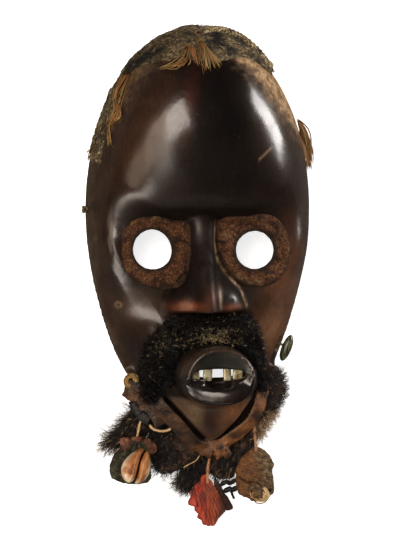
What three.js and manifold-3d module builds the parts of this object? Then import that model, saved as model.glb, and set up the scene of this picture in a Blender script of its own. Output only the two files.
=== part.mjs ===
import * as THREE from 'three';
import { ParametricGeometry } from 'three/addons/geometries/ParametricGeometry.js';
import { mergeVertices } from 'three/addons/utils/BufferGeometryUtils.js';
import Module from 'manifold-3d';

const wasm = await Module();
wasm.setup();

// Driving dimensions in millimetres
// X is the viewer's right, Y points to the top of the head and Z out of the face.
// The eyes are on y = 0, and the back of the rim, on which the mask lies, is z = 0.
const HALF_WIDTH = 67.4;
const TOP = 131.6;
const WIDEST = 23;
const CHIN = -114.6;
const RIM_WIDTH = 8.5;
const WALL = 8;
const FOREHEAD = 53.5;
const FOREHEAD_Y = 65;
const FACE = 31;
const JAW_Y = -50;
const BROW_Y = 20.5;
const EYE_HOLES = [
  [[-33.4, -0.2, 46, 13.5], [-32.8, -0.2, 30.5, 13.4], [-30.2, 0.4, 23, 11.9], [-29.6, 0.4, 14, 12.1]],
  [[31.8, -0.3, 46, 13.4], [31.7, -0.3, 30.5, 13.3], [31, 0.4, 24, 11.3], [30.8, 0.4, 14, 11.6]],
];
const NOSE_BASE_Y = -36;
const NOSE_WINGS = 23.8;
const NOSTRIL_RADIUS = 2.6;
const NOSTRIL_X = 11.5;
const MOUTH_X = 4.3;
const MOUTH_Y = -72.2;
const MOUTH_HALF = [24, 17.6];
const LIPS = 29;
const SLIT_X = 5.2;
const SLIT_Y = -71.3;
const SLIT_HALF = [16.2, 3.5];
const CHIN_TOP = -76;
const RIM_HOLE = 1.5;
const RIM_HOLE_Z = 9;
const GAP = 0.35;

// Small helpers for numbers
const clamp01 = (t) => Math.min(1, Math.max(0, t));
const mix = (a, b, t) => a + (b - a) * t;
const arch = (t, power, root) => Math.max(0, 1 - Math.abs(t) ** power) ** (1 / root);
const degrees = (angle) => (angle * Math.PI) / 180;
function smooth(from, to, value) {
  const t = clamp01((value - from) / (to - from));
  return t * t * (3 - 2 * t);
}

// A three.js geometry becomes a solid with its faces pointing out
function toSolid(geometry) {
  const bare = geometry.clone();
  bare.deleteAttribute('normal');
  bare.deleteAttribute('uv');
  const merged = mergeVertices(bare, 1e-3);
  const index = merged.index.array;
  const position = merged.attributes.position;
  const corner = [0, 1, 2].map(() => new THREE.Vector3());
  const kept = [];
  let volume = 0;
  for (let i = 0; i < index.length; i += 3) {
    const ends = [index[i], index[i + 1], index[i + 2]];
    if (new Set(ends).size < 3) continue;
    kept.push(...ends);
    corner.forEach((v, k) => v.fromBufferAttribute(position, ends[k]));
    volume += corner[0].dot(corner[1].cross(corner[2]));
  }
  if (volume < 0) kept.reverse();
  const vertProperties = Float32Array.from(position.array);
  const triVerts = Uint32Array.from(kept);
  return new wasm.Manifold(new wasm.Mesh({ numProp: 3, vertProperties, triVerts }));
}

function toGeometry(solid) {
  const mesh = solid.getMesh();
  const geometry = new THREE.BufferGeometry();
  geometry.setAttribute('position', new THREE.BufferAttribute(mesh.vertProperties, 3));
  geometry.setIndex(new THREE.BufferAttribute(mesh.triVerts, 1));
  return geometry;
}

const largest = (solid) => solid.decompose().reduce((a, b) => (b.volume() > a.volume() ? b : a));
const join = (...solids) => solids.reduce((all, solid) => all.add(solid));

// Closed loops stacked in rows, of which the first and the last shrink to a point
function skin(rows, around, point) {
  const place = (u, v, out) => out.copy(point(Math.round(v * rows), Math.round(u * around) % around));
  return toSolid(new ParametricGeometry(place, around, rows));
}

// A flat outline through points between two heights, with rounded edges, grown by a margin
function slab(points, low, high, { grow = 0, round = 0.5, turns = 1, divisions = 3 } = {}) {
  const shape = new THREE.Shape();
  const ends = points.map(([x, y]) => new THREE.Vector2(x, y));
  shape.moveTo(ends[0].x, ends[0].y);
  shape.splineThru([...ends.slice(1), ends[0]]);
  const geometry = new THREE.ExtrudeGeometry(shape, {
    depth: high - low + 2 * grow - 2 * round,
    bevelThickness: round,
    bevelSize: round,
    bevelOffset: grow - round,
    bevelSegments: turns,
    curveSegments: divisions,
  });
  return toSolid(geometry.translate(0, 0, low - grow + round));
}

function ovalSlab([x, y], [halfX, halfY], low, high, sides, grow = 0) {
  const shape = new THREE.Shape();
  shape.absellipse(x, y, halfX + grow, halfY + grow, 0, 2 * Math.PI);
  const options = { depth: high - low, bevelEnabled: false, curveSegments: sides / 2 };
  return toSolid(new THREE.ExtrudeGeometry(shape, options).translate(0, 0, low));
}

function tube(points, radius, { grow = 0, sides = 8, steps = 8 } = {}) {
  const path = new THREE.CatmullRomCurve3(points.map((p) => new THREE.Vector3(...p)));
  const shape = new THREE.Shape();
  shape.absarc(0, 0, radius + grow, 0, 2 * Math.PI);
  const options = { steps, extrudePath: path, bevelEnabled: false, curveSegments: sides / 2 };
  return toSolid(new THREE.ExtrudeGeometry(shape, options));
}

function lump(centre, half, { grow = 0, turn = 0, sides = 10, bands = 7 } = {}) {
  const ball = new THREE.SphereGeometry(1, sides, bands);
  ball.scale(half[0] + grow, half[1] + grow, half[2] + grow);
  return toSolid(ball.rotateZ(degrees(turn)).translate(...centre));
}

// The mask's outline: half an ellipse above, a blunt point below that leans to the right
function halfWidth(y) {
  const up = (y - WIDEST) / (TOP - WIDEST);
  const down = (WIDEST - y) / (WIDEST - CHIN);
  return HALF_WIDTH * (y > WIDEST ? arch(up, 2, 2) : arch(down, 1.8, 1 / 0.56));
}
const outlineLean = (y) => 7 * clamp01((-60 - y) / 55) ** 1.4;
const faceLean = (y) => 8.5 * clamp01((-10 - y) / 105) ** 1.3;

// How far out, as a share of the half width, the flat of the face turns down to the side
const cheekRidge = (y) => mix(0.77, 0.4, smooth(4, -44, y) ** 1.1);

// The domed forehead stands over the set-back plane of the face, whose cheeks slope to the rim
function baseHeight(u, y, brow = BROW_Y, step = 6) {
  const rise = (y - FOREHEAD_Y) / (TOP - FOREHEAD_Y);
  const fall = (FOREHEAD_Y - y) / (FOREHEAD_Y - BROW_Y);
  const below = FOREHEAD - 7 * fall ** 2 - 3 * Math.abs(fall) ** 6;
  const crown = y > FOREHEAD_Y ? FOREHEAD * arch(rise, 2.3, 2) : below;
  const jaw = FACE * arch(clamp01((JAW_Y - y) / (JAW_Y - CHIN)), 3, 1.8);
  const ridge = cheekRidge(y);
  const steep = (0.77 - ridge) / 0.37;
  const side = clamp01((Math.abs(u) - ridge) / (1 - ridge));
  const cheek = Math.max(0, 1 - side ** mix(2.2, 1.35, steep)) ** mix(0.55, 0.8, steep);
  const away = smooth(0.35, 0.8, Math.abs(u));
  const over = smooth(brow - 5 - 10 * away, brow + step - 1 + 16 * away, y);
  return mix(jaw * cheek, crown * arch(u, 2.6, 2), over);
}

// The nose: a long ridge, wider on its left flank, and low wings that flare out beside its tip
const noseAlong = (y) => clamp01((BROW_Y + 4 - y) / (BROW_Y + 4 - NOSE_BASE_Y));
const ridgeWidth = (y, side) => (side < 0 ? mix(10.6, 9.6, noseAlong(y)) : mix(5.6, 6.6, noseAlong(y)));
const ridgeHeight = (y) => 9.5 + 17.5 * noseAlong(y) ** 1.9;
const wingWidth = (y) => mix(4.6, NOSE_WINGS, smooth(-1, -32, y));
const wingHeight = (y) => 14.5 * smooth(-4, -25, y);
function noseForm(top, width, height, grow) {
  const rows = 9;
  const around = 12;
  return skin(rows, around, (row, step) => {
    const y = mix(top + grow, NOSE_BASE_Y - 3, row / rows);
    const angle = (2 * Math.PI * step) / around;
    const side = Math.sign(Math.cos(angle));
    const end = row === 0 || row === rows;
    const across = end ? 0 : (width(y, side) + grow) * side * Math.abs(Math.cos(angle)) ** 0.85;
    const up = Math.sin(angle);
    const rise = up > 0 ? (height(y) + grow) * up ** 0.9 : 8 * up;
    return new THREE.Vector3(across + faceLean(y), y, FACE - 1 + (end ? 0 : rise));
  });
}
function nose(grow) {
  const ridge = noseForm(BROW_Y + 6, ridgeWidth, ridgeHeight, grow);
  const wings = noseForm(-3, wingWidth, wingHeight, grow);
  const below = toSolid(new THREE.BoxGeometry(80, 20, 80).translate(0, NOSE_BASE_Y - 10 - grow, 50));
  return join(ridge, wings).subtract(below);
}

// The lips stand out as one oval disc whose rounded rim turns in towards the mouth
function lips(grow) {
  const rim = 0.68;
  const dip = 8;
  const profile = [new THREE.Vector2(0, -20), new THREE.Vector2(1, -20)];
  [1, 0.95, 0.88, 0.78, rim, 0.5, 0.25, 0].forEach((reach) => {
    const outer = arch(clamp01((reach - rim) / (1 - rim)), 2.2, 1.9);
    const inner = clamp01((rim - reach) / rim);
    profile.push(new THREE.Vector2(reach, LIPS * outer - dip * Math.min(1, 1.3 * inner)));
  });
  const disc = new THREE.LatheGeometry(profile, 22).rotateX(Math.PI / 2);
  disc.scale(MOUTH_HALF[0] + grow, MOUTH_HALF[1] + grow, 1);
  return toSolid(disc.translate(MOUTH_X, MOUTH_Y, FACE - 2 + grow));
}

// The chin is a raised wedge that narrows downwards, straight on its left and curved on its right
function between(value, stops) {
  const next = Math.max(1, stops.findIndex(([at]) => at <= value));
  const [[from, a], [to, b]] = [stops[next - 1], stops[next]];
  return mix(a, b, clamp01((value - from) / (to - from)));
}
const CHIN_LEFT = [[-70, -24], [-80, -24], [-86.3, -21.6], [-99.3, -9.6], [-112.2, 2.6], [CHIN, 6.4]];
const CHIN_RIGHT = [[-70, 31.8], [-79.4, 31.8], [-87.7, 28.2], [-99.3, 21.2], [-109, 13.1], [CHIN, 7.6]];
function chin(grow) {
  const rows = 9;
  const around = 14;
  return skin(rows, around, (row, step) => {
    const end = row === 0 || row === rows;
    const y = mix(CHIN_TOP, CHIN, (row / rows) ** 0.9);
    const [left, right] = [between(y, CHIN_LEFT) - grow, between(y, CHIN_RIGHT) + grow];
    const angle = (2 * Math.PI * step) / around;
    const side = Math.sign(Math.cos(angle)) * Math.abs(Math.cos(angle)) ** 0.5;
    const base = baseHeight(0, y);
    const up = Math.sin(angle);
    const height = up > 0 ? base + (8.5 + grow) * up ** 0.5 : base * 0.5;
    const across = end ? 0 : ((right - left) / 2) * side;
    return new THREE.Vector3((left + right) / 2 + across, y, end ? base * 0.8 : height);
  });
}

// Rows and columns of the front lie closer together at the brow and at the edges
const ROWS = 28;
const COLUMNS = 22;
function rowY(row) {
  if (row < 11) return TOP - (TOP - BROW_Y - 8) * (row / 11) ** 1.45;
  if (row < 14) return mix(BROW_Y + 8, BROW_Y - 2, (row - 11) / 3);
  if (row < 23) return mix(BROW_Y - 2, -92, (row - 14) / 9);
  return mix(-92, CHIN, Math.sin(((row - 23) / 5) * (Math.PI / 2)));
}
function columnU(column) {
  const side = 1 - (2 * column) / COLUMNS;
  return Math.sin((Math.PI / 2) * Math.abs(side) ** 1.1) * Math.sign(side);
}

// The mask's outer form, filled down to its back and grown by a margin
function plainMask(grow) {
  return skin(ROWS, COLUMNS + 1, (row, column) => {
    const y = rowY(row);
    const end = row === 0 || row === ROWS;
    const u = columnU(Math.min(column, COLUMNS));
    const away = (y - WIDEST) / (TOP - WIDEST);
    const edge = end || column === 0 || column >= COLUMNS;
    const x = end ? 0 : u * (halfWidth(y) + grow);
    const height = edge ? 0 : baseHeight(u, y) + grow;
    return new THREE.Vector3(x + outlineLean(y), y + grow * Math.max(-1, Math.min(1, away)), height);
  });
}
const filledMask = (grow) => join(plainMask(grow), nose(grow), lips(grow), chin(grow));

// The hollow behind the face follows its base form, a wall's thickness deep inside
const HOLLOW_ROWS = 16;
const HOLLOW_COLUMNS = 12;
function hollow() {
  const narrower = (HALF_WIDTH - RIM_WIDTH) / HALF_WIDTH;
  const middle = (TOP + CHIN) / 2;
  const reach = (TOP - CHIN) / 2;
  return skin(HOLLOW_ROWS, HOLLOW_COLUMNS + 1, (row, column) => {
    const along = Math.cos((Math.PI * row) / HOLLOW_ROWS);
    const y = middle + reach * along;
    const end = row === 0 || row === HOLLOW_ROWS;
    const side = 1 - (2 * Math.min(column, HOLLOW_COLUMNS)) / HOLLOW_COLUMNS;
    const u = Math.sin((Math.PI / 2) * side);
    const edge = end || column === 0 || column >= HOLLOW_COLUMNS;
    const depth = edge ? -2 : baseHeight(u, y, BROW_Y + 4, 30) * (1 - WALL / FACE);
    const x = end ? 0 : u * halfWidth(y) * narrower;
    return new THREE.Vector3(x + outlineLean(y), middle + (reach - RIM_WIDTH) * along, depth);
  });
}

// A round hole through rings, each with its centre, height and radius
function tunnel(rings, grow = 0) {
  const last = rings.length + 1;
  return skin(last, 18, (row, step) => {
    const [x, y, z, radius] = rings[Math.min(Math.max(row - 1, 0), rings.length - 1)];
    const angle = (2 * Math.PI * step) / 18;
    const reach = row === 0 || row === last ? 0 : radius + grow;
    return new THREE.Vector3(x + reach * Math.cos(angle), y + reach * Math.sin(angle), z);
  });
}
function drilled(x, y, z, radius, length) {
  const drill = new THREE.CylinderGeometry(radius, radius, length, 8);
  return toSolid(drill.rotateZ(Math.PI / 2).translate(x, y, z));
}

// The mouth is open in a long slit with squared ends
function mouthSlit(grow) {
  const shape = new THREE.Shape();
  const steps = 24;
  const [halfX, halfY] = SLIT_HALF.map((half) => half + grow);
  const bulge = (value) => Math.sign(value) * Math.abs(value) ** 0.7;
  for (let step = 0; step < steps; step += 1) {
    const angle = (2 * Math.PI * step) / steps;
    const [x, y] = [SLIT_X + halfX * bulge(Math.cos(angle)), SLIT_Y + halfY * bulge(Math.sin(angle))];
    if (step) shape.lineTo(x, y);
    else shape.moveTo(x, y);
  }
  const options = { depth: 40, bevelEnabled: false };
  return toSolid(new THREE.ExtrudeGeometry(shape, options).translate(0, 0, 30));
}

// Wood: one carved shell with pierced eyes, mouth and nostrils, and lacing holes in the rim
function mask() {
  const eyes = EYE_HOLES.map((rings) => tunnel(rings));
  const pocket = lump([MOUTH_X + 1, MOUTH_Y + 2.5, 16], [17, 10.5, 23], { sides: 12, bands: 8 });
  const slit = mouthSlit(0);
  const nostrils = [-1, 1].map((side) => {
    const bore = new THREE.CylinderGeometry(NOSTRIL_RADIUS, NOSTRIL_RADIUS, 12, 8);
    return toSolid(bore.translate(faceLean(NOSE_BASE_Y) + side * NOSTRIL_X, NOSE_BASE_Y, 39));
  });
  const rimHoles = [[1, 21], [1, -7], [-1, 24], [-1, -7]].map(([side, y]) =>
    drilled(side * (HALF_WIDTH - 5), y, RIM_HOLE_Z, RIM_HOLE, 40),
  );
  const slot = toSolid(new THREE.BoxGeometry(24, 9, 3.6).translate(50, -57, 5.4));
  const cuts = [hollow(), pocket, slit, slot, ...eyes, ...nostrils, ...rimHoles];
  return cuts.reduce((wood, cut) => wood.subtract(cut), filledMask(0));
}

// Each piece is made in turn and keeps a small gap to every piece made before it
const group = new THREE.Group();
const made = [];
function piece(name, colour, roughness, make, { metalness = 0, inside = false } = {}) {
  const whole = make(0);
  const grown = make(GAP);
  const earlier = made.filter((other) => boxOf(whole).intersectsBox(other.box) && !(inside && other.wood));
  const body = largest(earlier.reduce((left, other) => left.subtract(other.grown), whole));
  made.push({ box: boxOf(grown), grown, wood: name === 'mask' });
  const material = new THREE.MeshStandardMaterial({ color: colour, roughness, metalness });
  const mesh = new THREE.Mesh(toGeometry(body), material);
  mesh.name = name;
  group.add(mesh);
}
function boxOf(solid) {
  const { min, max } = solid.boundingBox();
  return new THREE.Box3(new THREE.Vector3(...min), new THREE.Vector3(...max));
}

// The wood comes first, so that whatever lies on it is cut to its surface
piece('mask', 0x2a1c16, 0.3, (grow) => (grow ? filledMask(grow) : mask()));

// A layer on the wood: its outline in plan, cut out of a skin of even thickness
const layer = (thickness, outline) => plainMask(thickness).intersect(outline);
// The outline's points move out from its middle by the margin
function above(points, low, high, grow) {
  const ends = points.map(([x, y]) => new THREE.Vector2(x, y));
  const centre = ends.reduce((sum, end) => sum.add(end), new THREE.Vector2()).divideScalar(ends.length);
  ends.forEach((end) => end.sub(centre).setLength(end.length() + grow).add(centre));
  const shape = new THREE.Shape().moveTo(ends[0].x, ends[0].y).splineThru([...ends.slice(1), ends[0]]);
  const options = { depth: high - low, bevelEnabled: false, curveSegments: 2 };
  return toSolid(new THREE.ExtrudeGeometry(shape, options).translate(0, 0, low));
}

// Eye cloths: a rough red-brown felt patch glued round each eye hole
const CLOTH = 2;
const LEFT_CLOTH = [
  [-51.6, 0.3], [-49.2, 14.2], [-37.6, 20.9], [-18.9, 18.2], [-9.4, 17], [-8.6, 0],
  [-13.7, -20], [-29.4, -23], [-46.3, -15.5],
];
const RIGHT_CLOTH = [
  [6.6, 16.4], [12.6, 20], [34.7, 21.7], [48.1, 13], [50.1, -4.2],
  [41.7, -18.7], [24.2, -19.8], [11.4, -8.9], [6.8, 4],
];
function eyeCloth(hole, outline, grow) {
  const [[x, y, , radius]] = EYE_HOLES[hole];
  const bore = tunnel([[x, y, 60, radius + 0.4], [x, y, 10, radius + 0.4]], -grow);
  return layer(CLOTH + grow, above(outline, 10, 50, grow)).subtract(bore);
}
piece('eye_cloth_left', 0x5b3924, 0.95, (grow) => eyeCloth(0, LEFT_CLOTH, grow));
piece('eye_cloth_right', 0x5a341f, 0.95, (grow) => eyeCloth(1, RIGHT_CLOTH, grow));

// Teeth: four small metal plates set upright in the open mouth
const TEETH = [[-10.2, -5.6], [-3.5, 1.8], [8.2, 12.9], [13.8, 19.8]];
const TEETH_Z = [49, 51.2];
TEETH.forEach(([from, to], number) => {
  piece(`tooth_${number + 1}`, 0x9f8a5a, 0.45, (grow) => {
    const plate = ovalSlab([(from + to) / 2, SLIT_Y], [(to - from) / 2, 4.6], ...TEETH_Z, 10, grow);
    return plate.intersect(mouthSlit(grow - GAP));
  }, { metalness: 0.6, inside: true });
});

// Hair: a plaited band over the right half of the top and a matted fibre cap below it
const band = [[1, 131, 14], [13, 129.6, 15], [24, 124.8, 16], [33, 117, 17], [40.5, 107.8, 18]];
piece('plaited_band', 0x6f583a, 0.9, (grow) => tube(band, 3.6, { grow, steps: 10 }));
const CAP = [
  [-43, 103.5], [-34.7, 108.4], [-26, 109.6], [-11, 111], [5.6, 109], [19, 113], [30.6, 110], [41, 104],
  [56, 112], [34, 140], [0, 150], [-34, 140], [-58, 112],
];
piece('hair_cap', 0x55482f, 0.95, (grow) => layer(2.6 + grow, above(CAP, 3, 60, grow)));
const STRIP = [[-43.5, 102.6], [-50, 87.5], [-57, 72.5], [-59.5, 54], [-75, 53], [-72, 84], [-58, 110.5]];
piece('fibre_strip', 0x57402a, 0.95, (grow) => layer(1.8 + grow, above(STRIP, 3, 60, grow)));
const TIE = [[-27, 106], [-11, 112.5], [-5, 125], [0, 125], [7, 109], [-2, 106.5], [-24, 102.5]];
piece('raffia_tie', 0xa9803f, 0.85, (grow) => layer(4.4 + grow, above(TIE, 20, 60, grow)));
const curl = [[-46.5, 104, 22], [-51.5, 94, 19], [-56.5, 83, 17], [-58.8, 72, 17]];
piece('raffia_curl', 0xb49a63, 0.85, (grow) => tube(curl, 1.5, { grow, sides: 6, steps: 5 }));
const tuft = [[61, 74, 9], [65.5, 60, 8], [68, 46, 7]];
piece('raffia_tuft', 0xb98a48, 0.85, (grow) => tube(tuft, 1.9, { grow, sides: 6, steps: 4 }));

// Beside the rim: a knot that plugs the upper left hole, and a seed toggle on a thread
const plug = { sides: 8, bands: 6 };
piece('rim_knot', 0x3a2a1e, 0.9, (grow) => lump([-69.6, 24, 9], [3.2, 2.8, 2.8], { ...plug, grow }));
piece('toggle', 0x4a4728, 0.4, (grow) => lump([52.8, -59.4, 9], [3.1, 8.4, 3], { grow, turn: -21 }));
const thread = [[50.6, -57.6, 6.4], [47.4, -57, 5.3], [42, -57, 5.3]];
const threadForm = (grow) => tube(thread, 0.8, { grow, sides: 6, steps: 2 });
piece('toggle_thread', 0x2a2119, 0.9, threadForm, { inside: true });

// Moustache: a strip of black fur glued in an arch round the mouth
const MOUSTACHE = [
  [-20.8, -36.6], [0, -36.9], [23.4, -36.6], [30.7, -41], [33.7, -50], [33.9, -66], [31.3, -79.6],
  [10, -74], [-22, -87], [-34, -89.2], [-39.4, -85.6], [-40.2, -73.6], [-38.4, -55.6], [-33, -43.6],
];
piece('moustache', 0x14110f, 0.95, (grow) => {
  const mouth = ovalSlab([MOUTH_X, MOUTH_Y], MOUTH_HALF, 0, 90, 24, 0.4 - grow);
  return layer(8 + grow, above(MOUSTACHE, 14, 60, grow)).subtract(mouth);
});

// Chin strap: a leather strip from jaw to jaw, knotted below the chin
const strapRoute = [
  [-34, -82, 27], [-26.5, -91, 25], [-14.6, -104, 21], [-2.6, -116.4, 13], [8.6, -119, 9.5],
  [18.6, -113.6, 12], [29.2, -103.6, 17], [34.6, -93, 22], [36.2, -81, 27],
];
function strap(grow) {
  const path = new THREE.CatmullRomCurve3(strapRoute.map((p) => new THREE.Vector3(...p)));
  const rows = 14;
  const around = 6;
  const band = skin(rows, around, (row, step) => {
    const centre = path.getPoint(row / rows);
    if (row === 0 || row === rows) return centre;
    const along = path.getTangent(row / rows);
    const outward = new THREE.Vector3(centre.x - 7, centre.y + 88, 34).normalize();
    const across = along.clone().cross(outward).normalize();
    const normal = across.clone().cross(along);
    const angle = (2 * Math.PI * (step + 0.5)) / around;
    const width = 5.4 + grow;
    return centre
      .addScaledVector(across, width * Math.cos(angle))
      .addScaledVector(normal, (1.7 + grow) * Math.sin(angle));
  });
  return join(band, lump([9, -118, 8.5], [9, 6.4, 5.4], { grow }));
}
piece('chin_strap', 0x6b4026, 0.7, strap);

// At the left jaw: a lumpy lug, a fibre loop on it and a rolled strap with two thongs
piece('leather_lug', 0x5a3a22, 0.8, (grow) => lump([-41.5, -81.5, 13], [5.4, 6, 5.4], { grow }));
piece('fibre_loop', 0xb4914e, 0.85, (grow) => {
  const ring = new THREE.TorusGeometry(2.7, 0.9 + grow, 6, 10);
  return toSolid(ring.rotateZ(0.3).translate(-42, -76.5, 19));
});
const roll = [[-38.5, -89.5, 11], [-36, -95.5, 11], [-29, -100.5, 13]];
piece('rolled_strap', 0x2b221c, 0.75, (grow) => tube(roll, 4.2, { grow, sides: 10, steps: 5 }));
const curvedThong = [[-28.5, -105.6, 17], [-24, -107.2, 17.4], [-19, -106.6, 18.6]];
piece('curved_thong', 0xb58a5a, 0.8, (grow) => tube(curvedThong, 0.8, { grow, sides: 6, steps: 4 }));

// Pendants on short thongs: a cowrie on a packet, a red amulet with a dark tag, a woven pouch
const PACKET = [
  [-45.8, -114.8], [-52.2, -125.4], [-53.4, -134.2], [-47.2, -139], [-38.3, -140.3], [-29.6, -138.6],
  [-28.3, -127.1], [-26.5, -118.3], [-33, -112], [-41, -112.5],
];
piece('packet', 0x3b3527, 0.85, (grow) => slab(PACKET, 0.4, 10, { grow, round: 3, turns: 2, divisions: 1 }));
const cowrieForm = { turn: -20, sides: 14 };
piece('cowrie', 0xc08a58, 0.3, (grow) => lump([-38.2, -128.6, 12.4], [8.2, 12, 5], { ...cowrieForm, grow }));
const packetThong = [[-35.6, -100.6, 8], [-36.4, -106, 8], [-37.2, -111.4, 7]];
piece('packet_thong', 0xa8794a, 0.8, (grow) => tube(packetThong, 0.9, { grow, sides: 6, steps: 3 }));
const AMULET = [
  [2.9, -136], [-2.6, -142.8], [-4.8, -147], [-5.6, -153.6], [-2.6, -154.4], [-0.2, -160.8], [2.4, -164.4],
  [5.7, -166.8], [9.5, -166.8], [12.3, -162.4], [16.4, -157.4], [14, -149.2], [7.3, -138.4],
];
piece('red_amulet', 0x96382a, 0.75, (grow) => slab(AMULET, 0.4, 8, { grow, round: 1.5, divisions: 1 }));
const amuletThong = [[6.4, -125, 7], [5.4, -131, 6], [5, -137, 4.6]];
piece('amulet_thong', 0x8a4a32, 0.8, (grow) => tube(amuletThong, 0.9, { grow, sides: 6, steps: 3 }));
const TAG = [
  [10.2, -139.6], [12.6, -140], [17.3, -146.4], [19.2, -150], [21.8, -156], [20.3, -157.6], [17.4, -158.2],
  [15, -150],
];
piece('dark_tag', 0x4a211b, 0.8, (grow) => slab(TAG, 0.4, 4, { grow, round: 0.6, divisions: 1 }));
const POUCH = [
  [33, -119.8], [37.5, -119.8], [42, -123], [45.8, -129.5], [44.9, -133.2], [45.7, -141], [45.5, -147],
  [42, -149.6], [35.3, -152.5], [28.7, -149.7], [24, -146.6], [22.6, -137], [24.3, -128.5], [29, -122.9],
];
const stuffed = { round: 4, turns: 2, divisions: 1 };
piece('woven_pouch', 0x6f4f30, 0.9, (grow) => slab(POUCH, 0.4, 12, { ...stuffed, grow }));
const pouchThong = [[33, -104.5, 9], [33.2, -112, 8.5], [33.4, -120.3, 7]];
piece('pouch_thong', 0x9a6a3f, 0.8, (grow) => tube(pouchThong, 0.9, { grow, sides: 6, steps: 3 }));

// Beard: pieces of hide with long dark fur behind the strap and the pendants
const BEARD = {
  beard_left: [7, [
    [-33, -92], [-41.5, -97], [-49, -106.5], [-55, -115.5], [-48.8, -118.6], [-37, -115.6],
    [-30.2, -111], [-29.9, -102],
  ]],
  beard_middle: [6, [
    [-22.8, -94], [-28.5, -101], [-29.5, -109], [-28, -117.3], [-25.7, -128], [-21, -134.5],
    [-8.1, -131.5], [1, -126.9], [4, -124.3], [2, -116], [-15, -101],
  ]],
  beard_tuft: [4, [[-2, -129.5], [3.5, -127], [4.4, -137], [-3.9, -145], [-14.8, -145.5], [-9.9, -137.1]]],
  beard_right: [13, [
    [39.2, -73.3], [45.9, -69.7], [51.3, -78.1], [52.5, -90.1], [48.9, -100.9], [42.6, -109.3],
    [36.5, -116.7], [36.5, -106], [41, -95], [40, -84],
  ]],
  beard_centre: [5, [
    [6, -122], [14, -117], [22, -112], [29.5, -103], [35, -95], [38, -102], [35.5, -117], [29.3, -124],
    [25, -130], [22, -137.3], [17.2, -138.5], [10.6, -137.6], [6.6, -129.4],
  ]],
};
Object.entries(BEARD).forEach(([name, [height, outline]]) => {
  const options = { round: 0.6, divisions: 1 };
  piece(name, 0x2a2018, 0.95, (grow) => slab(outline, 0.4, height, { ...options, grow }));
});

// The whole is centred in plan over its lowest plane
const box = new THREE.Box3().setFromObject(group);
const middle = box.getCenter(new THREE.Vector3());
group.position.set(-middle.x, -middle.y, -box.min.z);
export default group;
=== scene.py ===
"""The looks of a dan mask: a carved wooden face with felt, fur, fibre and amulets, which lies on its rim."""

import math

import bpy
import numpy as np
from mathutils import Matrix, Vector


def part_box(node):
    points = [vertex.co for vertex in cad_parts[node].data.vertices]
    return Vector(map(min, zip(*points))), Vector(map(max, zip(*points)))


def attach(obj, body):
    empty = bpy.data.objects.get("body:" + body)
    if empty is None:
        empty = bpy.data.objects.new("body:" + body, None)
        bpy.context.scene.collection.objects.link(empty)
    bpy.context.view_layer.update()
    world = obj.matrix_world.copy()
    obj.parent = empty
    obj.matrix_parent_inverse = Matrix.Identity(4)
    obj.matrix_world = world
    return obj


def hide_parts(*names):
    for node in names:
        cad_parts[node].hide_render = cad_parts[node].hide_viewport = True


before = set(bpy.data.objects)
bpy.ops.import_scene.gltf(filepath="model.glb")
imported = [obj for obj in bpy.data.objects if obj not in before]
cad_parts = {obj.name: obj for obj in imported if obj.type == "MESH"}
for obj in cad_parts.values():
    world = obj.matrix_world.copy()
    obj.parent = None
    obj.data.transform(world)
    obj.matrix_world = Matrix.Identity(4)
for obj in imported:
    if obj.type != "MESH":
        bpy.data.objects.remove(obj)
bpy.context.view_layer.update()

# ----------
# The wood: one block of hardwood, carved to a shell and rubbed with dark dye and oil until it shines.
# The forehead is a dome over a set-back face, whose cheeks slope off from a soft ridge to the rim.
# Its sizes are in millimetres from the line between the eyes, and the back of the rim is at z = 0.
HALF_WIDTH, TOP, WIDEST, CHIN = 67.4, 131.6, 23.0, -114.6
FOREHEAD, FOREHEAD_Y, FACE, JAW_Y, BROW_Y = 53.5, 65.0, 31.0, -50.0, 20.5
RIM_WIDTH, WALL = 8.5, 8.0
NOSE_BASE_Y = -36.0
MOUTH_X, MOUTH_Y, SLIT_X, SLIT_Y = 4.3, -72.2, 5.2, -70.5
MOUTH_HALF_X, MOUTH_HALF_Y, LIPS = 24.0, 17.6, 29.0
SLIT_HALF_X, SLIT_HALF_Y = 16.2, 3.0
CHIN_TOP = -77.0
MM = 0.001
mask_low, mask_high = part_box("mask")
SHIFT = np.array([
    (mask_low[0] + mask_high[0]) / 2,
    (mask_low[1] + mask_high[1]) / 2 - (TOP + CHIN) / 2 * MM,
    0.0,
])


def clamp01(t):
    return np.clip(t, 0.0, 1.0)


def mix(a, b, t):
    return a + (b - a) * t


def smooth(start, end, value):
    t = clamp01((value - start) / (end - start))
    return t * t * (3 - 2 * t)


def arch(t, power, root):
    return np.maximum(0.0, 1 - np.abs(t) ** power) ** (1 / root)


def bump(t, power, root):
    """An arch that goes on below zero past its foot."""
    left = np.maximum(1 - np.abs(t) ** power, -4.0)
    return np.sign(left) * np.abs(left) ** (1 / root)


def blend_max(a, b, soft):
    """The higher of two surfaces, with a carved fillet where they meet."""
    near = clamp01(0.5 + 0.5 * (b - a) / soft)
    return mix(a, b, near) + soft * near * (1 - near)


def half_width(y):
    up = clamp01((y - WIDEST) / (TOP - WIDEST))
    down = clamp01((WIDEST - y) / (WIDEST - CHIN))
    return HALF_WIDTH * np.where(y > WIDEST, arch(up, 2, 2), arch(down, 1.8, 1 / 0.56))


def outline_lean(y):
    return 7 * clamp01((-60 - y) / 55) ** 1.4


def face_lean(y):
    return 8.5 * clamp01((-10 - y) / 105) ** 1.3


def ridge_of_cheek(y):
    """How far out, as a share of the half width, the flat of the face turns down to the side."""
    return mix(0.77, 0.4, smooth(4, -44, y) ** 1.1)


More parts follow.
